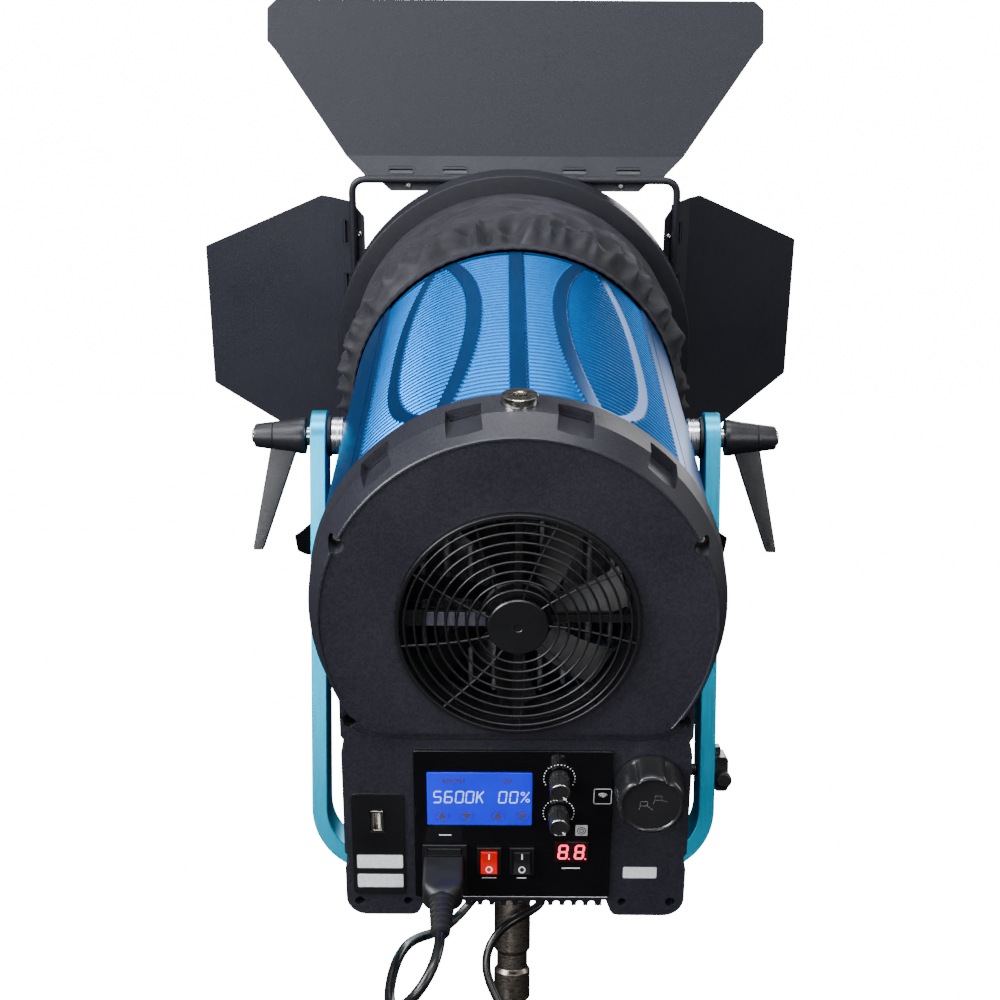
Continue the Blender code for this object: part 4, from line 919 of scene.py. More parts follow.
def lcd_reading():
    """A colour temperature and a brightness, in slanted digits."""
    width, height = LCD_HIGH[0] - LCD_LOW[0], LCD_HIGH[1] - LCD_LOW[1]

    def at(u, v):
        return (LCD_LOW[0] + u * width, LCD_HIGH[1] - v * height)

    digit, tall, line = 0.0046, 0.0084, 0.0009
    outlines = []
    for u, number in ((0.060, "5"), (0.165, "6"), (0.270, "0"), (0.368, "0"), (0.680, "0"), (0.785, "0")):
        outlines += seven_segments(number, *at(u, 0.565), digit, tall, line)
    left, low = at(0.470, 0.565)
    outlines.append(stroke((left, low), (left + 0.0008, low + tall), line))
    outlines.append(stroke((left + 0.0006, low + 0.0036), (left + 0.0046, low + tall), line))
    outlines.append(stroke((left + 0.0019, low + 0.0050), (left + 0.0040, low), line))
    left, low = at(0.895, 0.555)
    outlines.append(stroke((left, low), (left + 0.0052, low + 0.0078), line * 0.7))
    for x, z in ((left + 0.0011, low + 0.0066), (left + 0.0042, low + 0.0013)):
        outlines += ring_outline(x, z, 0.0011, 0.0006, parts=10)
    return outlines


def lcd_marks():
    """Faint bars above the digits, and four arrows in circles below them."""
    width, height = LCD_HIGH[0] - LCD_LOW[0], LCD_HIGH[1] - LCD_LOW[1]
    outlines = []
    for u, up in ((0.143, 1), (0.375, -1), (0.672, 1), (0.905, -1)):
        x, z = LCD_LOW[0] + u * width, LCD_HIGH[1] - 0.82 * height
        outlines += ring_outline(x, z, 0.0043, 0.0003)
        half = 0.0026
        outlines.append([(x - half, z - up * 0.0018), (x + half, z - up * 0.0018), (x, z + up * 0.0026)])
    for start, end in ((0.16, 0.36), (0.73, 0.81)):
        x = LCD_LOW[0] + start * width
        z = LCD_HIGH[1] - 0.15 * height
        while x < LCD_LOW[0] + end * width:
            outlines.append(rectangle(x, z, 0.0011, 0.0026))
            x += 0.0021
    return outlines


def make_displays():
    for name, low, high, finish, slot, radius in (
        ("lcd_window", LCD_LOW, LCD_HIGH, "lcd", "blue_screen", 0.0012),
        ("number_display", NUMBER_LOW, NUMBER_HIGH, "dark_red", "red_lamp", 0.0004),
        ("light_sensor", (0.0385, -0.1550), (0.0465, -0.1470), "sensor", "grey_window", 0.0008),
    ):
        pane = prism(round_rectangle(low, high, radius), DISPLAY_Y, PANEL_Y - 0.0003)
        piece(f"{name}_pane", pane, finish, "head", [name], bevel=0.00025)
    print_piece("lcd_digits", lcd_reading(), DISPLAY_Y, "lcd_digit")
    print_piece("lcd_marks", lcd_marks(), DISPLAY_Y, "lcd_mark")
    numbers = []
    for x in (0.0278, 0.0385):
        numbers += seven_segments("8", x, NUMBER_LOW[1] + 0.0028, 0.0052, 0.0100, 0.0015, 0.09)
        numbers.append(circle(x + 0.0070, NUMBER_LOW[1] + 0.0024, 0.0006, 12))
    print_piece("number_digits", numbers, DISPLAY_Y, "red_digit")
    outlines = ring_outline(0.0425, -0.1510, 0.0026, 0.0005) + ring_outline(0.0425, -0.1510, 0.0012, 0.0005)
    print_piece("sensor_ring", outlines, DISPLAY_Y, "black")
    print_piece("panel_print", panel_print(), PANEL_Y, "white")


def panel_print():
    """Dotted scales round the pots, a radio-wave sign in a square, and short bars for captions."""
    dots = []
    for z in POT_HEIGHTS.values():
        dots += [circle(x, y, 0.00042, 8) for x, y in arc(POT_X, z, 0.0100, -30, 210, 19)]
    x, z, half = 0.0555, -0.1251, 0.0056
    frame_line = round_rectangle((x - half, z - half), (x + half, z + half), 0.0012, 4)
    dots += [stroke(a, b, 0.0003) for a, b in zip(frame_line, [*frame_line[1:], frame_line[0]])]
    for radius in (0.0012, 0.0024, 0.0036):
        dots += ring_outline(x, z - 0.0012, radius, 0.0006, 45, 135, 8)
    for x, z, length in (
        (-0.0460, -0.1555, 0.0080), (-0.0174, -0.1892, 0.0095), (0.0041, -0.1892, 0.0062),
        (0.0362, -0.1812, 0.0120),
    ):
        dots.append(rectangle(x, z, length, 0.0007))
    dots.append(rectangle(0, PANEL_LOW[1] + 0.0006, 0.122, 0.00025))
    return dots


# Controls


def make_pots():
    for name, z in POT_HEIGHTS.items():
        side = [(0.0062, 0.0010), (0.0068, 0.0004), (0.0067, -0.0060), (0.0065, -0.0140), (0.0063, -0.0146)]
        grip = fluted(side, 24, 0.00014, 144)
        place = LAMP @ Matrix.Translation((POT_X, 0, z))
        owner = f"{name}_knob"
        piece(f"{name}_grip", grip, "knob", owner, [owner], place)
        rim = rounded([(0.0064, -0.0144), (0.0064, -0.0156), (0.0054, -0.0160), (0.0054, -0.0144)], 0.0003)
        piece(f"{name}_rim", turned(rim, 72, True), "nickel", owner, place=place)
        face = turned([(0.0055, -0.0145), (0.0055, -0.0155), (0.0030, -0.0156)], 48)
        piece(f"{name}_face", face, "knob", owner, place=place)
        pointer = stroke((0.0022, -0.0032), (0.0036, -0.0052), 0.0008)
        print_piece(f"{name}_pointer", [pointer], -0.0156, "white", owner, place)
        shaft = turned([(0.0030, 0.0235), (0.0030, 0.0008)], 32)
        piece(f"{name}_shaft", shaft, "casting", owner, place=place)


def fluted(profile, count, depth, steps):
    """A turned solid whose side has shallow flutes."""
    rings = []
    for radius, y in profile:
        ring = []
        for i in range(steps):
            a = math.tau * i / steps
            r = radius + depth * (math.cos(count * a) - 1) / 2 * (2 if abs(y) > 0.001 else 0)
            ring.append((r * math.cos(a), y, r * math.sin(a)))
        rings.append(ring)
    return loft(rings)


def make_rockers():
    # Side view: two faces that meet in a shallow valley, extruded across the switch
    side = [(-0.0079, 0.0026), (-0.0079, -0.0030), (-0.0010, -0.0020)]
    side += [(0.0010, -0.0020), (0.0079, -0.0030), (0.0079, 0.0026)]
    for name, x in ROCKERS.items():
        softened(f"{name}_switch_frame", "black", 0.0004)
        rocker = loft([[(cross, y, z) for z, y in side] for cross in (-0.0055, 0.0055)])
        place = LAMP @ Matrix.Translation((x, 0, ROCKER_Z)) @ rotation(ROCKER_TILT, "X")
        finish, slot = ("red", "red_lamp") if name == "power" else ("black", "black_plastic")
        node = f"{name}_rocker"
        piece(f"{node}_cap", rocker, finish, node, [node], place, 0.0004)
        on = rocker_sign([rectangle(0, 0, 0.0009, 0.0042)], 1)
        off = rocker_sign(ring_outline(0, 0, 0.0019, 0.0008, parts=20), -1)
        piece(f"{node}_signs", joined(*on, *off), "white", node, place=place)


def rocker_sign(outlines, side):
    """A sign in the middle of the rocker's upper (1) or lower (-1) face, flat on its slope."""
    slope = math.atan(0.0010 / 0.0069)
    turn = Matrix.Translation((0, -0.00252, side * 0.0046)) @ Matrix.Rotation(side * slope, 4, "X")
    return [moved(prism(outline, -0.00012, 0.0003), turn) for outline in outlines]


# Radius, y, and the share of the grooves' depth
FOCUS_PROFILE = (
    (0.0190, 0.0030, 0), (0.0222, 0.0028, 0), (0.0226, 0.0018, 0.2), (0.0226, 0.0002, 0.5),
    (0.0222, -0.0012, 1), (0.0220, -0.0080, 1), (0.0216, -0.0170, 1), (0.0211, -0.0196, 1),
    (0.0200, -0.0207, 0.6), (0.0190, -0.0209, 0.1), (0.0183, -0.0205, 0), (0.0178, -0.0198, 0),
    (0.0040, -0.0195, 0),
)


def make_focus_knob():
    """Six wide grips with a narrow groove between each two, a base flange and a dished face."""
    steps = 240
    rings = []
    for radius, y, grooved in FOCUS_PROFILE:
        ring = []
        for i in range(steps):
            a = math.tau * i / steps
            away = abs((math.degrees(a) + 30) % 60 - 30) / 7.0
            r = radius - grooved * 0.0022 * math.exp(-(away**2))
            ring.append((r * math.cos(a), y, r * math.sin(a)))
        rings.append(ring)
    place = LAMP @ Matrix.Translation((FOCUS_AXIS[0], 0, FOCUS_AXIS[1]))
    piece("focus_grip", loft(rings), "knob", "focus_drive", ["focus_knob"], place, angle=50)
    print_piece("focus_marks", focus_signs(), -0.01955, "grey", "focus_drive", place)


def focus_signs():
    """Two curved arrows, and two small lamps with a narrow and a wide beam."""
    lines = ring_outline(0, 0, 0.0150, 0.0004, 35, 75, 8) + ring_outline(0, 0, 0.0150, 0.0004, -85, -50, 8)
    for tip, end in (
        ((0.0039, 0.0145), (0.0056, 0.0160)), ((0.0039, 0.0145), (0.0060, 0.0127)),
        ((0.0096, -0.0115), (0.0096, -0.0093)), ((0.0096, -0.0115), (0.0074, -0.0110)),
    ):
        lines.append(stroke(tip, end, 0.0004))
    for cx, cz, spread in ((-0.0050, 0.0010, 0.0030), (0.0040, 0.0052, 0.0010)):
        for a, b in (
            ((-0.0022, 0.0016), (0.0022, 0.0016)), ((-0.0022, -0.0016), (0.0022, -0.0016)),
            ((-0.0022, -0.0016), (-0.0022, 0.0016)), ((0.0022, -0.0016), (0.0022, 0.0016)),
            ((0.0022, -0.0016), (0.0058, -0.0016 - spread)), ((-0.0022, -0.0016), (-0.0030, -0.0044)),
        ):
            lines.append(stroke((cx + a[0], cz + a[1]), (cx + b[0], cz + b[1]), 0.0003))
    return lines


# Fan

WIRE = 0.0008
GRILLE_RINGS, GRILLE_PITCH, SPOKES, BLADES = 8, 0.0064, 9, 7
SPOKE_END, SPOKE_SWEEP = 31, 10  # degrees
# Outline of a blade's section, in half chords and thicknesses
BLADE_SECTION = ((-1, 0.2), (-0.5, 1), (0, 1.2), (0.5, 1), (1, 0.2), (0.5, -0.7), (0, -0.6), (-0.5, -0.7))


def make_fan():
    low, high = -0.0030, 0.0020
    bore, outside = 0.0730, FAN_OPENING - 0.0003
    rim = rounded([(bore, high), (outside, high), (outside, low), (bore, low)], 0.0006)
    parts = [turned(rim, 144, True)]
    for i in range(GRILLE_RINGS):
        radius = FAN_OPENING - 0.0062 - GRILLE_PITCH * i
        parts.append(turned(arc(radius, -0.0019, WIRE, 0, 330, 11), 120, True))
    for i in range(SPOKES):
        points = []
        for k in range(9):
            share = k / 8
            radius = 0.0175 + (FAN_OPENING - 0.0015 - 0.0175) * share
            a = math.radians(SPOKE_END + 360 / SPOKES * i + SPOKE_SWEEP * (1 - share) ** 1.3)
            points.append((radius * math.cos(a), -0.0013, radius * math.sin(a)))
        parts.append(sweep(points, WIRE, 10))
    hub = [(0.0187, 0), (0.0187, -0.0022), (0.0180, -0.0030)]
    hub += [(0.0030, -0.0033), (0.0026, -0.0028), (0.0010, -0.0028)]
    parts.append(turned(hub, 96))
    piece("wire_grille", joined(*parts), "black", "head", ["fan_grille"])
    softened("fan_frame", "box", 0.0006)
    segments = []
    for i in range(6):
        x = -0.0225 - GRILLE_PITCH * i
        segments.append(block((x - 0.0028, 0.0075, -0.0048), (x + 0.0028, 0.0088, 0.0048)))
    piece("fan_wire_cover", joined(*segments), "strut", "head", bevel=0.0008)
    make_impeller()


def make_impeller():
    """Twisted blades on a rounded hub."""
    hub = [(0.0215, 0.0310), (0.0230, 0.0300), (0.0230, 0.0150), (0.0218, 0.0142), (0.0060, 0.0140)]
    parts = [turned(hub, 72)]
    for i in range(BLADES):
        rings = []
        for k in range(9):
            share = k / 8
            radius = 0.0222 + 0.0460 * share
            pitch = math.radians(48 - 16 * share)
            chord, thick = 0.0120 + 0.0025 * share, 0.0009
            lead = math.radians(360 / BLADES * i + 14 * share)
            ring = []
            for across, out in BLADE_SECTION:
                along = across * chord * math.cos(pitch)
                y = 0.0225 + across * chord * math.sin(pitch) * 0.62 + out * thick
                a = lead + along / radius
                ring.append((radius * math.cos(a), y, radius * math.sin(a)))
            rings.append(ring)
        parts.append(loft(rings))
    piece("fan_blades", joined(*parts), "box", "fan", ["fan_impeller"])


# Lens end

RING_Y, RING_RADIUS, RING_DEPTH, APERTURE = 0.5167, 0.1575, 0.028, 0.112
LENS_RADIUS = 0.124
LENS_SEAT = RING_Y + WALL + 0.0003


def make_lens_end():
    rim = 0.0075
    profile = [
        (RING_RADIUS - rim, RING_Y + RING_DEPTH), (RING_RADIUS, RING_Y + RING_DEPTH), (RING_RADIUS, RING_Y),
        (APERTURE, RING_Y), (APERTURE, RING_Y + WALL), (RING_RADIUS - rim, RING_Y + WALL),
    ]
    ring = turned(rounded(profile, 0.0012), 192, True)
    piece("lens_ring_plate", ring, "ring", "lens_carriage", ["lens_ring"])
    make_lens()
    softened("lens_retainer", "ring", 0.0005)
    softened("lens_barrel", "ring", 0.0006)
    softened("focus_nut", "acetal")


def make_lens():
    """Narrow sloped steps round a small dome."""
    base = LENS_SEAT + 0.005
    front = [(LENS_RADIUS, LENS_SEAT), (LENS_RADIUS, base)]
    dome, pitch = 0.022, 0.0034
    for i in range(int((LENS_RADIUS - dome) / pitch)):
        outer = LENS_RADIUS - pitch * i
        front += [(outer - 0.0003, base), (outer - pitch, base + 0.0012)]
    front += [(dome * k / 6, base + 0.0022 * (1 - (k / 6) ** 2)) for k in range(6, 0, -1)]
    lens = turned(front, 160)
    piece("stepped_lens", lens, "glass", "lens_carriage", ["fresnel_lens"], angle=20)


# Barn doors

FRAME_Y, FRAME_HALF = 0.560, 0.144
ROD_RADIUS, ROD_CORNER = 0.0033, 0.010
LEAF_THICK, LEAF_OFFSET, LEAF_FLANGE, LEAF_BASE = 0.0016, 0.0042, 0.009, -0.0015
LEAF_NOTCH = (0.010, 0.0035)
# A slot, its raised rim and the black plate behind it, which paints the shade seen in the slot: half width, near
# and far edge, corner, corner steps
SLOT = (0.0106, 0.0066, 0.0108, 0.0016, 4)
SLOT_RIM = ((0.0122, 0.0058, 0.0142, 0.0036, 6), (0.0112, 0.0068, 0.0132, 0.0028, 6))
SLOT_SHADE_PLATE = (0.0112, 0.0060, 0.0114, 0.0015, 4)
LEAF_TAB = (0.060, 0.118)
KNUCKLE_AT = 0.045
# Stands the flat outline up on its hinge line, with its thickness along the optical axis
LEAF_STAND = Matrix(((-1, 0, 0, 0), (0, 0, 1, 0), (0, 1, 0, 0), (0, 0, 0, 1)))
FOLD_AT, FOLD_LIFT = 0.023, 0.0046
TOP_LEAF = (
    (0.130, LEAF_BASE), (0.134, 0.006), (0.150, 0.023), (0.214, 0.117), (0.221, 0.125), (0.221, 0.154),
    (0.213, 0.162),
)
SIDE_LEAF = ((0.122, LEAF_BASE), (0.1248, 0.035), (0.0675, 0.154))
# Name: turn round the optical axis, lean from flat, half outline, where its slots are along the hinge
LEAVES = {
    "top_leaf": (0, 26, TOP_LEAF, (0.053, 0.101)),
    "bottom_leaf": (180, 36, TOP_LEAF, (0.053, 0.101)),
    "left_leaf": (-90, 20, SIDE_LEAF, (0.045, 0.094)),
    "right_leaf": (90, 35, SIDE_LEAF, (0.045, 0.094)),
}


def leaf_outline(half_outline):
    near, far = LEAF_TAB
    half, deep = LEAF_NOTCH
    notch = [(half, deep), (half, LEAF_BASE)]
    tab = [(near, LEAF_BASE), (near + 0.004, -LEAF_FLANGE), (far - 0.008, -LEAF_FLANGE), (far, LEAF_BASE)]
    right = [*notch, *tab, *half_outline]
    return rounded(right + [(-x, y) for x, y in reversed(right)], 0.0012, 3)


def folded(mesh, reach):
    """Bends the leaf a few degrees along its fold line: the fold stands forward of the flat plane."""
    bm = bmesh.new()
    bm.from_mesh(mesh)
    whole = [*bm.verts, *bm.edges, *bm.faces]
    bmesh.ops.bisect_plane(bm, geom=whole, plane_co=(0, FOLD_AT, 0), plane_no=(0, 1, 0), dist=1e-6)
    for vert in bm.verts:
        if vert.co.y > 0:
            near = vert.co.y / FOLD_AT
            far = (reach - vert.co.y) / (reach - FOLD_AT)
            vert.co.z += FOLD_LIFT * max(0.0, min(near, far))
    bm.to_mesh(mesh)
    bm.free()
    return mesh


def slot_outline(x, shape):
    half, near, far, corner, steps = shape
    return round_rectangle((x - half, near), (x + half, far), corner, steps)


def make_leaf(name):
    spin, lean, half_outline, slots = LEAVES[name]
    hinge = Matrix.Translation((0, FRAME_Y, FRAME_HALF))
    place = LAMP @ rotation(spin, "Y") @ hinge @ rotation(-lean, "X") @ LEAF_STAND
    low, high = LEAF_OFFSET - LEAF_THICK / 2, LEAF_OFFSET + LEAF_THICK / 2
    centres = [side * x for x in slots for side in (-1, 1)]
    holes = [slot_outline(x, SLOT) for x in centres]
    reach = max(y for _, y in half_outline)
    leaf = folded(plate([leaf_outline(half_outline), *holes], low, high, WORLD), reach)
    rims = []
    shade_plates = []
    for x in centres:
        rim = [slot_outline(x, shape) for shape in SLOT_RIM]
        rims.append(folded(plate(rim, low - 0.0004, high + 0.0004, WORLD), reach))
        # Painted shade: a black plate behind each slot makes it read dark instead of showing what lies beyond it
        shade_plates.append(folded(plate([slot_outline(x, SLOT_SHADE_PLATE)], high, high + 0.0008, WORLD), reach))
    piece(f"{name}_sheet", leaf, "leaf", name, [name], place, 0.0005, angle=6)
    bore, outside = ROD_RADIUS + 0.0003, ROD_RADIUS + 0.0018
    knuckle = rounded([(bore, -0.010), (outside, -0.010), (outside, 0.010), (bore, 0.010)], 0.0003)
    hinges = []
    screws = []
    for side in (-1, 1):
        turn = Matrix.Translation((side * KNUCKLE_AT, 0, 0)) @ rotation(90, "Z")
        hinges.append(moved(turned(knuckle, 40, True), turn))
        face = Matrix.Translation((side * 0.094, -0.0045, low)) @ UPRIGHT
        screws.append(moved(screw_head(0.0026), face))
    piece(f"{name}_hinges", joined(*hinges, *rims), "leaf", name, place=place)
    # Painted shade: the black plates behind the slots stand in for the shade seen in them
    piece(f"{name}_slot_shade_plates", joined(*shade_plates), "black", name, place=place)
    piece(f"{name}_screws", joined(*screws), "nickel", name, place=place)


def make_barn_doors():
    front = RING_Y + RING_DEPTH + 0.004
    outer = RING_RADIUS - 0.0085
    ring = [(0.1335, front), (outer, front), (outer, RING_Y + 0.016), (0.1335, RING_Y + 0.016)]
    ring = turned(rounded(ring, 0.0012), 192, True)
    piece("door_ring", ring, "ring", "barndoor_frame", ["barndoor_ring"])
    path = round_rectangle((-FRAME_HALF, -FRAME_HALF), (FRAME_HALF, FRAME_HALF), ROD_CORNER * 1.3, 10)
    wire = sweep([(x, FRAME_Y, z) for x, z in path], ROD_RADIUS, 24, closed=True)
    lugs = []
    for i in range(4):
        lug = block((FRAME_HALF - 0.002, front + 0.0003, -0.007), (FRAME_HALF + 0.002, FRAME_Y, 0.007))
        lugs.append(moved(lug, rotation(90 * i, "Y")))
    piece("door_rod", wire, "ring", "barndoor_frame", ["barndoor_rod"])
    piece("door_lugs", joined(*lugs), "ring", "barndoor_frame", bevel=0.0008)
    for name in LEAVES:
        make_leaf(name)


# Bellows

BELLOWS_REAR, BELLOWS_FRONT = TUBE_END + 0.0003, RING_Y - 0.0003
HEM_END = 0.3846
CLOTH = 0.0012


def bellows_radius(y, angle):
    """Outer radius of the sleeve: tight at the elastic hem, gathered behind it, taut at the ring."""
    if y < HEM_END:
        ripple = 0.00025 * math.sin(90 * angle + 3 * math.sin(5 * angle))
        return 0.1330 + 0.0005 * math.sin(math.pi * (y - BELLOWS_REAR) / (HEM_END - BELLOWS_REAR)) + ripple
    share = (y - HEM_END) / (BELLOWS_FRONT - HEM_END)
    cone = 0.1338 + 0.0085 * share**0.75
    around = Vector((math.cos(angle), math.sin(angle), 0))
    slow = noise.noise(around * 1.9 + Vector((0, 0, share * 1.1)))
    bend = 0.6 * noise.noise(around * 3.1 + Vector((0, 0, share * 4 + 5)))
    folds = 1 - 3.2 * abs(noise.noise(around * 7.5 + Vector((0, 0, share * 1.6 + 7 + bend))))
    creases = 1 - 2.8 * abs(noise.noise(around * 3.6 + Vector((0, 0, share * 4.6 + 21 + bend))))
    rise = min(1.0, share / 0.06) ** 0.5
    loose = (1 - share) ** 1.6
    crown = 0.62 + 0.38 * around.y + 0.4 * slow
    bulge = 0.0058 * rise * loose
    ridge = 0.0105 * rise * loose * crown * max(-0.8, folds)
    slack = rise * min(1.0, 3 * (1 - share))
    return cone + bulge + ridge + slack * 0.0024 * max(-1.0, creases)


def make_bellows():
    around, along = 432, 84
    angles = [math.tau * i / around for i in range(around)]
    hem_rows = [BELLOWS_REAR + (HEM_END - BELLOWS_REAR) * i / 6 for i in range(6)]
    rows = hem_rows + [HEM_END + (BELLOWS_FRONT - HEM_END) * (i / along) for i in range(along + 1)]
    outside, inside = [], []
    for y in rows:
        radii = [bellows_radius(y, angle) for angle in angles]
        for rings, inset in ((outside, 0), (inside, CLOTH)):
            rings.append(
                [((r - inset) * math.cos(a), y, (r - inset) * math.sin(a)) for r, a in zip(radii, angles)]
            )
    mesh = loft(outside + inside[::-1], closed=True)
    sleeve = piece("bellows_sleeve", mesh, "fabric", None, ["bellows"], angle=60)
    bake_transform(sleeve)


# Yoke and clamps

YOKE_INNER, YOKE_THICK, YOKE_WIDTH, YOKE_BEND = 0.144, 0.012, 0.039, 0.050
STUD_HOLE = 0.0058
PIN_RADIUS, PIN_LENGTH = 0.0143, 0.110


def make_yoke():
    outer, inner, inside = YOKE_INNER + YOKE_THICK, YOKE_INNER, YOKE_BEND - YOKE_THICK
    height, half = PIVOT.z, YOKE_WIDTH / 2
    top = height + half
    profile = [(-outer, top), (-inner, top)]
    profile += arc(-inner + inside, YOKE_THICK + inside, inside, 180, 270, 20)
    profile += arc(inner - inside, YOKE_THICK + inside, inside, 270, 360, 20)
    profile += [(inner, top), (outer, top)]
    profile += arc(outer - YOKE_BEND, YOKE_BEND, YOKE_BEND, 360, 270, 20)
    profile += arc(-outer + YOKE_BEND, YOKE_BEND, YOKE_BEND, 270, 180, 20)
    bar = prism(profile, -half, half)
    side_view = [(half, -0.02), *arc(0, height, half, 0, 180, 32), (-half, -0.02)]
    ends = loft([[(x, y, z) for y, z in side_view] for x in (-0.2, 0.2)])
    yoke = shaped(bar, [ends], "INTERSECT")
    hole = loft([[(x, y, z) for y, z in circle(0, height, STUD_HOLE, 32)] for x in (-0.2, 0.2)])
    pin_hole = rod((0, 0, -0.05), (0, 0, 0.05), 0.0065)
    bar = shaped(yoke, [hole, pin_hole])
    piece("yoke_bar", bar, "blue_yoke", "yoke", ["yoke"], WORLD, 0.0009, 3)


def make_stand_pin():
    r, waist = PIN_RADIUS, 0.0121
    profile = [
        (0.006, 0.022), (0.006, -0.0003), (r - 0.0005, -0.0003), (r, -0.0009), (r, -0.0680),
        (waist, -0.0710), (waist, -0.0830), (r, -0.0860), (r, -PIN_LENGTH + 0.002),
        (r - 0.002, -PIN_LENGTH),
    ]
    pin = moved(turned(profile, 96), UPRIGHT)
    piece("spigot", pin, "spigot", "yoke", ["stand_pin"], WORLD, 0.0003)
    softened("pin_nut", "nickel", 0.0006)
    softened("accessory_clip", "black", 0.0008)
    softened("clip_screw", "black", 0.0005)
    softened("clip_bolt", "black", 0.0004)


def make_clamp(side, name):
    """Spacer and washer on the tube, then the stud with its collar, and the lever's hub."""
    place = along_pivot(side)
    spacer = [
        (STUD_HOLE, 0.1315), (0.0140, 0.1315), (0.0145, 0.1320), (0.0145, 0.1350), (0.0139, 0.1353),
        (0.0139, 0.1360), (0.0145, 0.1363), (0.0145, 0.1400), (0.0140, 0.1405), (STUD_HOLE, 0.1405),
    ]
    spacer = turned(spacer, 96, True)
    piece(f"{name}_spacer", spacer, "machined", "head", [f"tilt_spacer_{name}"], place)
    low, high = 0.1408, YOKE_INNER - 0.0003
    washer = rounded([(STUD_HOLE, low), (0.0160, low), (0.0160, high), (STUD_HOLE, high)], 0.0006)
    washer = turned(washer, 96, True)
    piece(f"{name}_washer", washer, "rubber", "head", [f"tilt_washer_{name}"], place)
    collar = YOKE_INNER + YOKE_THICK + 0.0003
    stud = [
        (0.0046, 0.2020), (0.0058, 0.2012), (0.0058, 0.1910), (0.0040, 0.1910), (0.0040, 0.1600),
        (0.0072, 0.1600), (0.00775, 0.1595), (0.00775, collar + 0.0004), (0.0072, collar), (0.0050, collar),
        (0.0050, 0.1223),
    ]
    owner = f"clamp_stud_{name}"
    piece(f"{name}_stud", turned(stud, 64), "nickel", owner, [owner], place)
    hub = [
        (0.0066, 0.1995), (0.0080, 0.2000), (0.0089, 0.1994), (0.00925, 0.1980), (0.0107, 0.1862),
        (0.0103, 0.1857), (0.0109, 0.1850), (0.0125, 0.1720), (0.0140, 0.1645), (0.0140, 0.1615),
        (0.0136, 0.1607), (0.0045, 0.1603), (0.0045, 0.1860), (0.0066, 0.1860),
    ]
    owner = f"clamp_lever_{name}"
    piece(f"{name}_lever_hub", turned(hub, 80, True), "lever", owner, [owner], place)
    make_lever_blade(side, f"{name}_lever_blade", owner)


def make_lever_blade(side, name, owner):
    """It hangs straight down in the world and splays outwards, its broad face to the rear."""
    upright = Matrix.Translation(PIVOT) @ Matrix.Diagonal((side, 1, 1, 1))
    rings = []
    for share in (0.0, 0.25, 0.5, 0.75, 0.97, 1.0):
        z = -0.0085 - 0.0800 * share
        middle = 0.1775 + 0.0208 * share
        half = 0.0104 - 0.0062 * share - (0.0006 if share == 1.0 else 0)
        deep = 0.0036 - 0.0012 * share
        outline = round_rectangle((middle - half, -deep), (middle + half, deep), 0.0012, 4)
        rings.append([(x, y, z) for x, y in outline])
    piece(name, loft(rings), "lever", owner, place=upright)


# Mains lead

CORD_RADIUS = 0.0034
CORD_LENGTH = 1.8
CORD_ROUTE = (
    (-0.0470, -0.2822, 0.0486), (-0.0470, -0.2917, 0.0455), (-0.0501, -0.3051, 0.0370),
    (-0.0581, -0.3110, 0.0243), (-0.0681, -0.3070, 0.0121), (-0.0761, -0.2948, 0.0052),
    (-0.0792, -0.2789, 0.0063), (-0.0790, -0.2620, 0.0110), (-0.0770, -0.2400, 0.0145),
    (-0.0730, -0.2120, 0.0140), (-0.0665, -0.1800, 0.0075), (-0.0585, -0.1440, -0.0035),
    (-0.0495, -0.1060, -0.0130), (-0.0420, -0.0700, -0.0185), (-0.0350, -0.0380, -0.0215),
    (-0.0295, -0.0110, -0.0230), (-0.0205, 0.0130, -0.0240), (-0.0030, 0.0255, -0.0250),
    (0.0150, 0.0205, -0.0262), (0.0250, 0.0050, -0.0280), (0.0215, -0.0130, -0.0300),
    (0.0080, -0.0245, -0.0330), (-0.0070, -0.0295, -0.0400), (-0.0175, -0.0330, -0.0520),
    (-0.0215, -0.0360, -0.0670), (-0.0180, -0.0390, -0.0820), (-0.0105, -0.0420, -0.0960),
    (-0.0025, -0.0460, -0.1095), (0.0045, -0.0495, -0.1215),
)
COIL_ENTRY = Vector((0.0090, -0.0530, -0.1370))
COIL_CENTRE = Vector((-0.0260, -0.0470, -0.1600))
COIL_TURNS, COIL_START = 5.0278, 15  # turns, and the angle in degrees where the winding starts
TAIL = 0.42  # the last share of a turn, along which the strand leaves the bundle for the plug
STRAND_PITCH = 2 * CORD_RADIUS + 0.0001
# Where each turn lies in the bundle's cross-section, as (outward, along Y) in strand pitches
COIL_PLACES = ((0.43, -1.0), (0.43, 0.0), (0.43, 1.0), (-0.43, 0.5), (-0.43, -0.5))
PLUG_TOP = Vector((0.0074, -0.0712, -0.1571))
CONNECTOR_X, CONNECTOR_Z, CONNECTOR_END = -0.047, -0.180, -0.0675


def b_spline(points, per_span):
    """A cubic B-spline through the ends and close to the points, so that its bends are even."""
    points = [Vector(p) for p in points]
    ends = [2 * points[0] - points[1], *points, 2 * points[-1] - points[-2]]
    fine = []
    for a, b, c, d in zip(ends, ends[1:], ends[2:], ends[3:]):
        for i in range(per_span):
            t = i / per_span
            near, far = 3 * t**3 - 6 * t**2 + 4, -3 * t**3 + 3 * t**2 + 3 * t + 1
            fine.append(((1 - t) ** 3 * a + near * b + far * c + t**3 * d) / 6)
    fine.append(points[-1])
    return fine


def length_of(points):
    return sum((b - a).length for a, b in zip(points, points[1:]))


def smooth(share):
    share = min(1.0, max(0.0, share))
    return share * share * (3 - 2 * share)


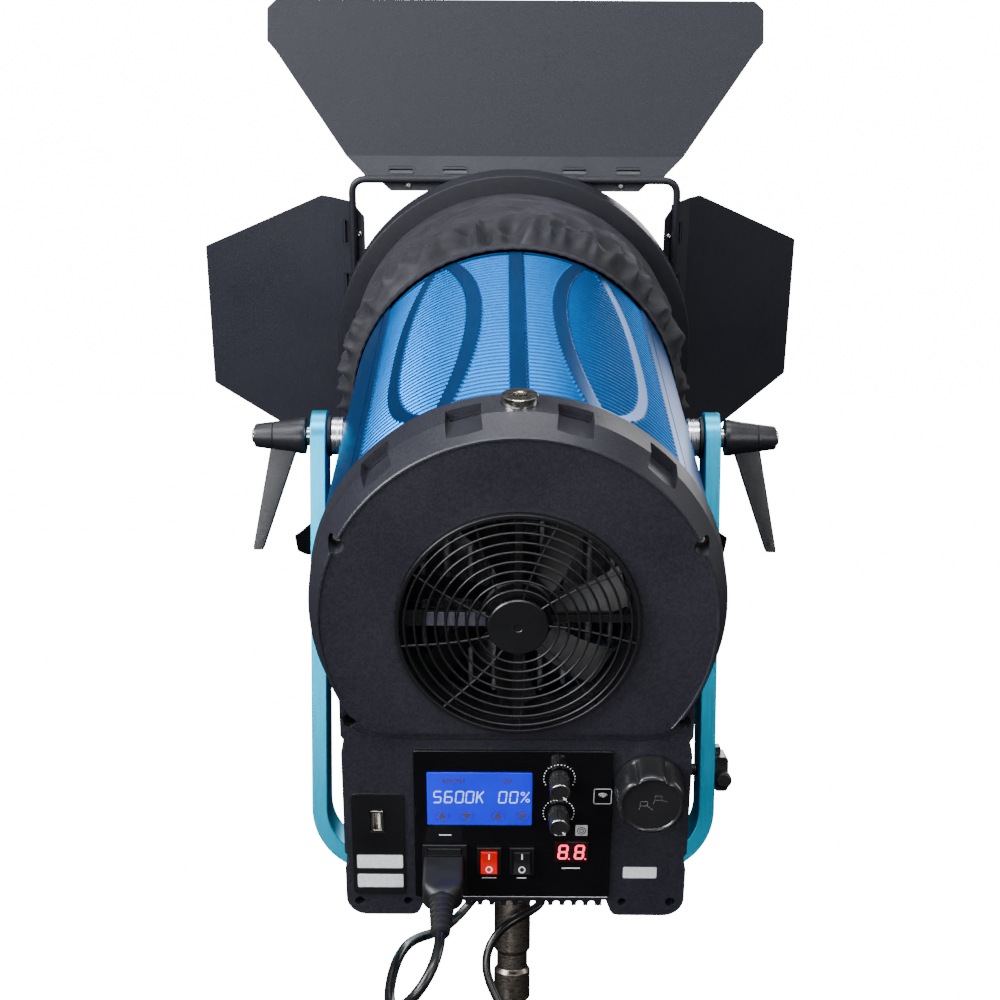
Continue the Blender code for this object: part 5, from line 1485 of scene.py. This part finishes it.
def coil_point(turns, size):
    """A point of the winding, some turns after its start at the coil's right, going clockwise."""
    index = min(int(turns), len(COIL_PLACES) - 1)
    here, after = COIL_PLACES[index], COIL_PLACES[min(index + 1, len(COIL_PLACES) - 1)]
    slide = smooth((turns - index - 0.70) / 0.30)
    out, across = (a + (b - a) * slide for a, b in zip(here, after))
    radius = size + out * STRAND_PITCH
    angle = math.radians(COIL_START) - turns * math.tau
    tail = smooth((turns - COIL_TURNS + TAIL) / TAIL)
    y = COIL_CENTRE.y + across * STRAND_PITCH
    y += (PLUG_TOP.y - y) * tail
    return Vector((COIL_CENTRE.x + radius * math.cos(angle), y, COIL_CENTRE.z + radius * math.sin(angle)))


def cord_points(size):
    """The lead's middle line for a coil of this radius: the route, then the winding down to the plug."""
    steps = round(COIL_TURNS * 24)
    winding = [coil_point(COIL_TURNS * i / steps, size) for i in range(steps + 1)]
    return b_spline([*CORD_ROUTE, COIL_ENTRY, *winding], 6)


def fitted_coil():
    """The coil radius at which the whole lead has its real length."""
    low, high = 0.030, 0.045
    for _ in range(30):
        middle = (low + high) / 2
        low, high = (middle, high) if length_of(cord_points(middle)) < CORD_LENGTH else (low, middle)
    return low


def make_tie(size):
    """A strap round the bundle of turns, at the coil's left."""
    angle = math.radians(165)
    out = Vector((math.cos(angle), 0, math.sin(angle)))
    along = Vector((-math.sin(angle), 0, math.cos(angle)))
    centre = COIL_CENTRE + out * size
    rings = []
    for i in range(32):
        a = math.tau * i / 32
        ring = []
        for across, thick in ((-0.006, 0), (0.006, 0), (0.006, 0.0012), (-0.006, 0.0012)):
            point = out * (0.0068 + thick) * math.cos(a) + Vector((0, 1, 0)) * (0.0106 + thick) * math.sin(a)
            ring.append(centre + point + along * across)
        rings.append(ring)
    return piece(
        "cord_tie", loft(rings, closed=True), "fabric", "yoke", place=WORLD, bevel=0.0003
    )


def make_connector():
    """Moulded socket with sloped shoulders, and a ribbed relief that tapers to the cord."""
    rings = []
    for y, half_x, half_z, radius in (
        (-0.0012, 0.0130, 0.0095, 0.0020), (-0.0040, 0.0130, 0.0095, 0.0024),
        (-0.0270, 0.0128, 0.0094, 0.0030), (-0.0310, 0.0118, 0.0092, 0.0050),
        (-0.0345, 0.0096, 0.0086, 0.0070), (-0.0362, 0.0080, 0.0078, 0.0074),
    ):
        outline = round_rectangle((-half_x, -half_z), (half_x, half_z), radius, 8)
        rings.append([(x + CONNECTOR_X, y, z + CONNECTOR_Z) for x, z in outline])
    middle = Matrix.Translation((CONNECTOR_X, 0, CONNECTOR_Z))
    nose = moved(block((-0.0112, -0.005, -0.0085), (0.0126, 0.016, 0.0078)), middle)
    relief = [(0.0082, -0.0330)]
    ribs, start, end = 6, -0.0365, CONNECTOR_END
    for i in range(ribs):
        y, span = start + (end - start) * i / ribs, (end - start) / ribs
        r = 0.0082 - 0.0024 * i / ribs
        relief += [(r, y), (r, y + span * 0.58)]
        relief += [(r - 0.0012, y + span * 0.66), (r - 0.0012, y + span * 0.96)]
    relief.append((0.0044, end))
    strain = moved(turned(relief, 48), middle)
    shell = loft(rings)
    shell = piece("connector_body", shell, "rubber", "head", ["cord_connector"], bevel=0.0003)
    relief_piece = piece("connector_relief", strain, "rubber", "head")
    nose_piece = piece("connector_nose", nose, "rubber", "head", bevel=0.0006)
    return [shell, relief_piece, nose_piece]


def make_plug():
    """Flat-ended round plug with a ribbed relief and two pins, hanging pins down."""
    profile = [(0.0044, 0.0)]
    for i in range(5):
        y = -0.0006 - 0.0034 * i
        r = 0.0050 + 0.0003 * i
        profile += [(r, y), (r, y - 0.0022), (r - 0.0009, y - 0.0025), (r - 0.0009, y - 0.0033)]
    profile += [(0.0064, -0.0185), (0.0118, -0.0225), (0.0128, -0.0250)]
    profile += [(0.0130, -0.0490), (0.0122, -0.0512), (0.0105, -0.0520)]
    upright = Matrix.Translation(PLUG_TOP) @ UPRIGHT
    body = piece("plug_body", turned(profile, 64), "rubber", "yoke", ["mains_plug"], upright)
    pins = []
    for side in (-1, 1):
        pin = turned([(0.0022, -0.0505), (0.0022, -0.0680), (0.0014, -0.0690)], 32)
        pins.append(moved(pin, Matrix.Translation((side * 0.0063, 0, 0))))
    return [body, piece("plug_pins", joined(*pins), "nickel", "yoke", place=upright)]


def make_cord():
    size = fitted_coil()
    path = cord_points(size)
    tube = sweep(path, CORD_RADIUS, 14)
    cord = piece("mains_cord", tube, "flex", None, ["power_cord", "cord_coil"], WORLD)
    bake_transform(cord)
    others = [*make_connector(), *make_plug(), make_tie(size)]


# The rest


def make_small_parts():
    bush = rounded([(0.0112, 0.1365), (0.0112, 0.1200), (0.0045, 0.1200), (0.0045, 0.1365)], 0.0008)
    bush = moved(turned(bush, 96, True), Matrix.Translation((0, BUSH_Y, 0)) @ UPRIGHT)
    piece("nickel_bush", bush, "nickel", "head", ["top_bush"])
    for node, finish, slot, bevel in (
        ("lower_box", "box", "black_plastic", 0.0012), ("power_inlet", "black", "black_plastic", 0.0005),
        ("fuse_drawer", "black", "black_plastic", 0.0004), ("usb_port", "nickel", "bright_steel", 0.0003),
        ("focus_shaft", "nickel", "bright_steel", 0.0003), ("heat_sink", "casting", "aluminium", 0.0004),
        ("engine_plate", "casting", "aluminium", 0.0005), ("reflector", "machined", "aluminium", 0.0002),
        ("power_supply", "casting", "aluminium", 0.0010), ("control_board", "board", "green_board", 0.0002),
        ("led_board", "acetal", "white_plastic", 0.0003), ("tube_bush", "acetal", "white_plastic", 0.0005),
    ):
        softened(node, finish, bevel)
    tongue = prism(rectangle(USB_X + 0.0011, USB_Z, 0.0016, 0.0118), 0.0035, 0.0140)
    piece("usb_tongue", tongue, "acetal", "head", bevel=0.0002)
    chip = prism(circle(0, 0, 0.0125, 64), 0.1030, 0.1042)
    piece("led_chip", chip, "phosphor", "head", bevel=0.0003)


def make_bottom_fins():
    """The finned plate under the box: the gaps between its fins have round roots."""
    gaps, pitch, half, gap, top, tip = 14, 0.0078, 0.0575, 0.0023, BELLY - 0.0003, BELLY - 0.0052
    outline = [(-half, top), (half, top), (half, tip)]
    for i in range(gaps):
        x = (gaps - 1) * pitch / 2 - i * pitch
        outline += [(x + gap, tip), *arc(x, tip + 0.0016, gap, 0, 180, 8), (x - gap, tip)]
    outline.append((-half, tip))
    fins = prism(outline, 0.0046, 0.240)
    piece("bottom_fins", fins, "ring", "head", ["bottom_heat_sink"], bevel=0.0002)


def main():
    make_camera()
    for name, settings in LIGHTS.items():
        area_light(name, *settings)
    make_world()
    make_floor()
    make_cord()
    make_yoke()
    make_stand_pin()
    for side, name in ((-1, "left"), (1, "right")):
        make_clamp(side, name)
    make_rear_cover()
    make_panel()
    make_displays()
    make_pots()
    make_rockers()
    make_focus_knob()
    make_fan()
    make_tube()
    make_bellows()
    make_lens_end()
    make_barn_doors()
    make_small_parts()
    make_bottom_fins()


main()
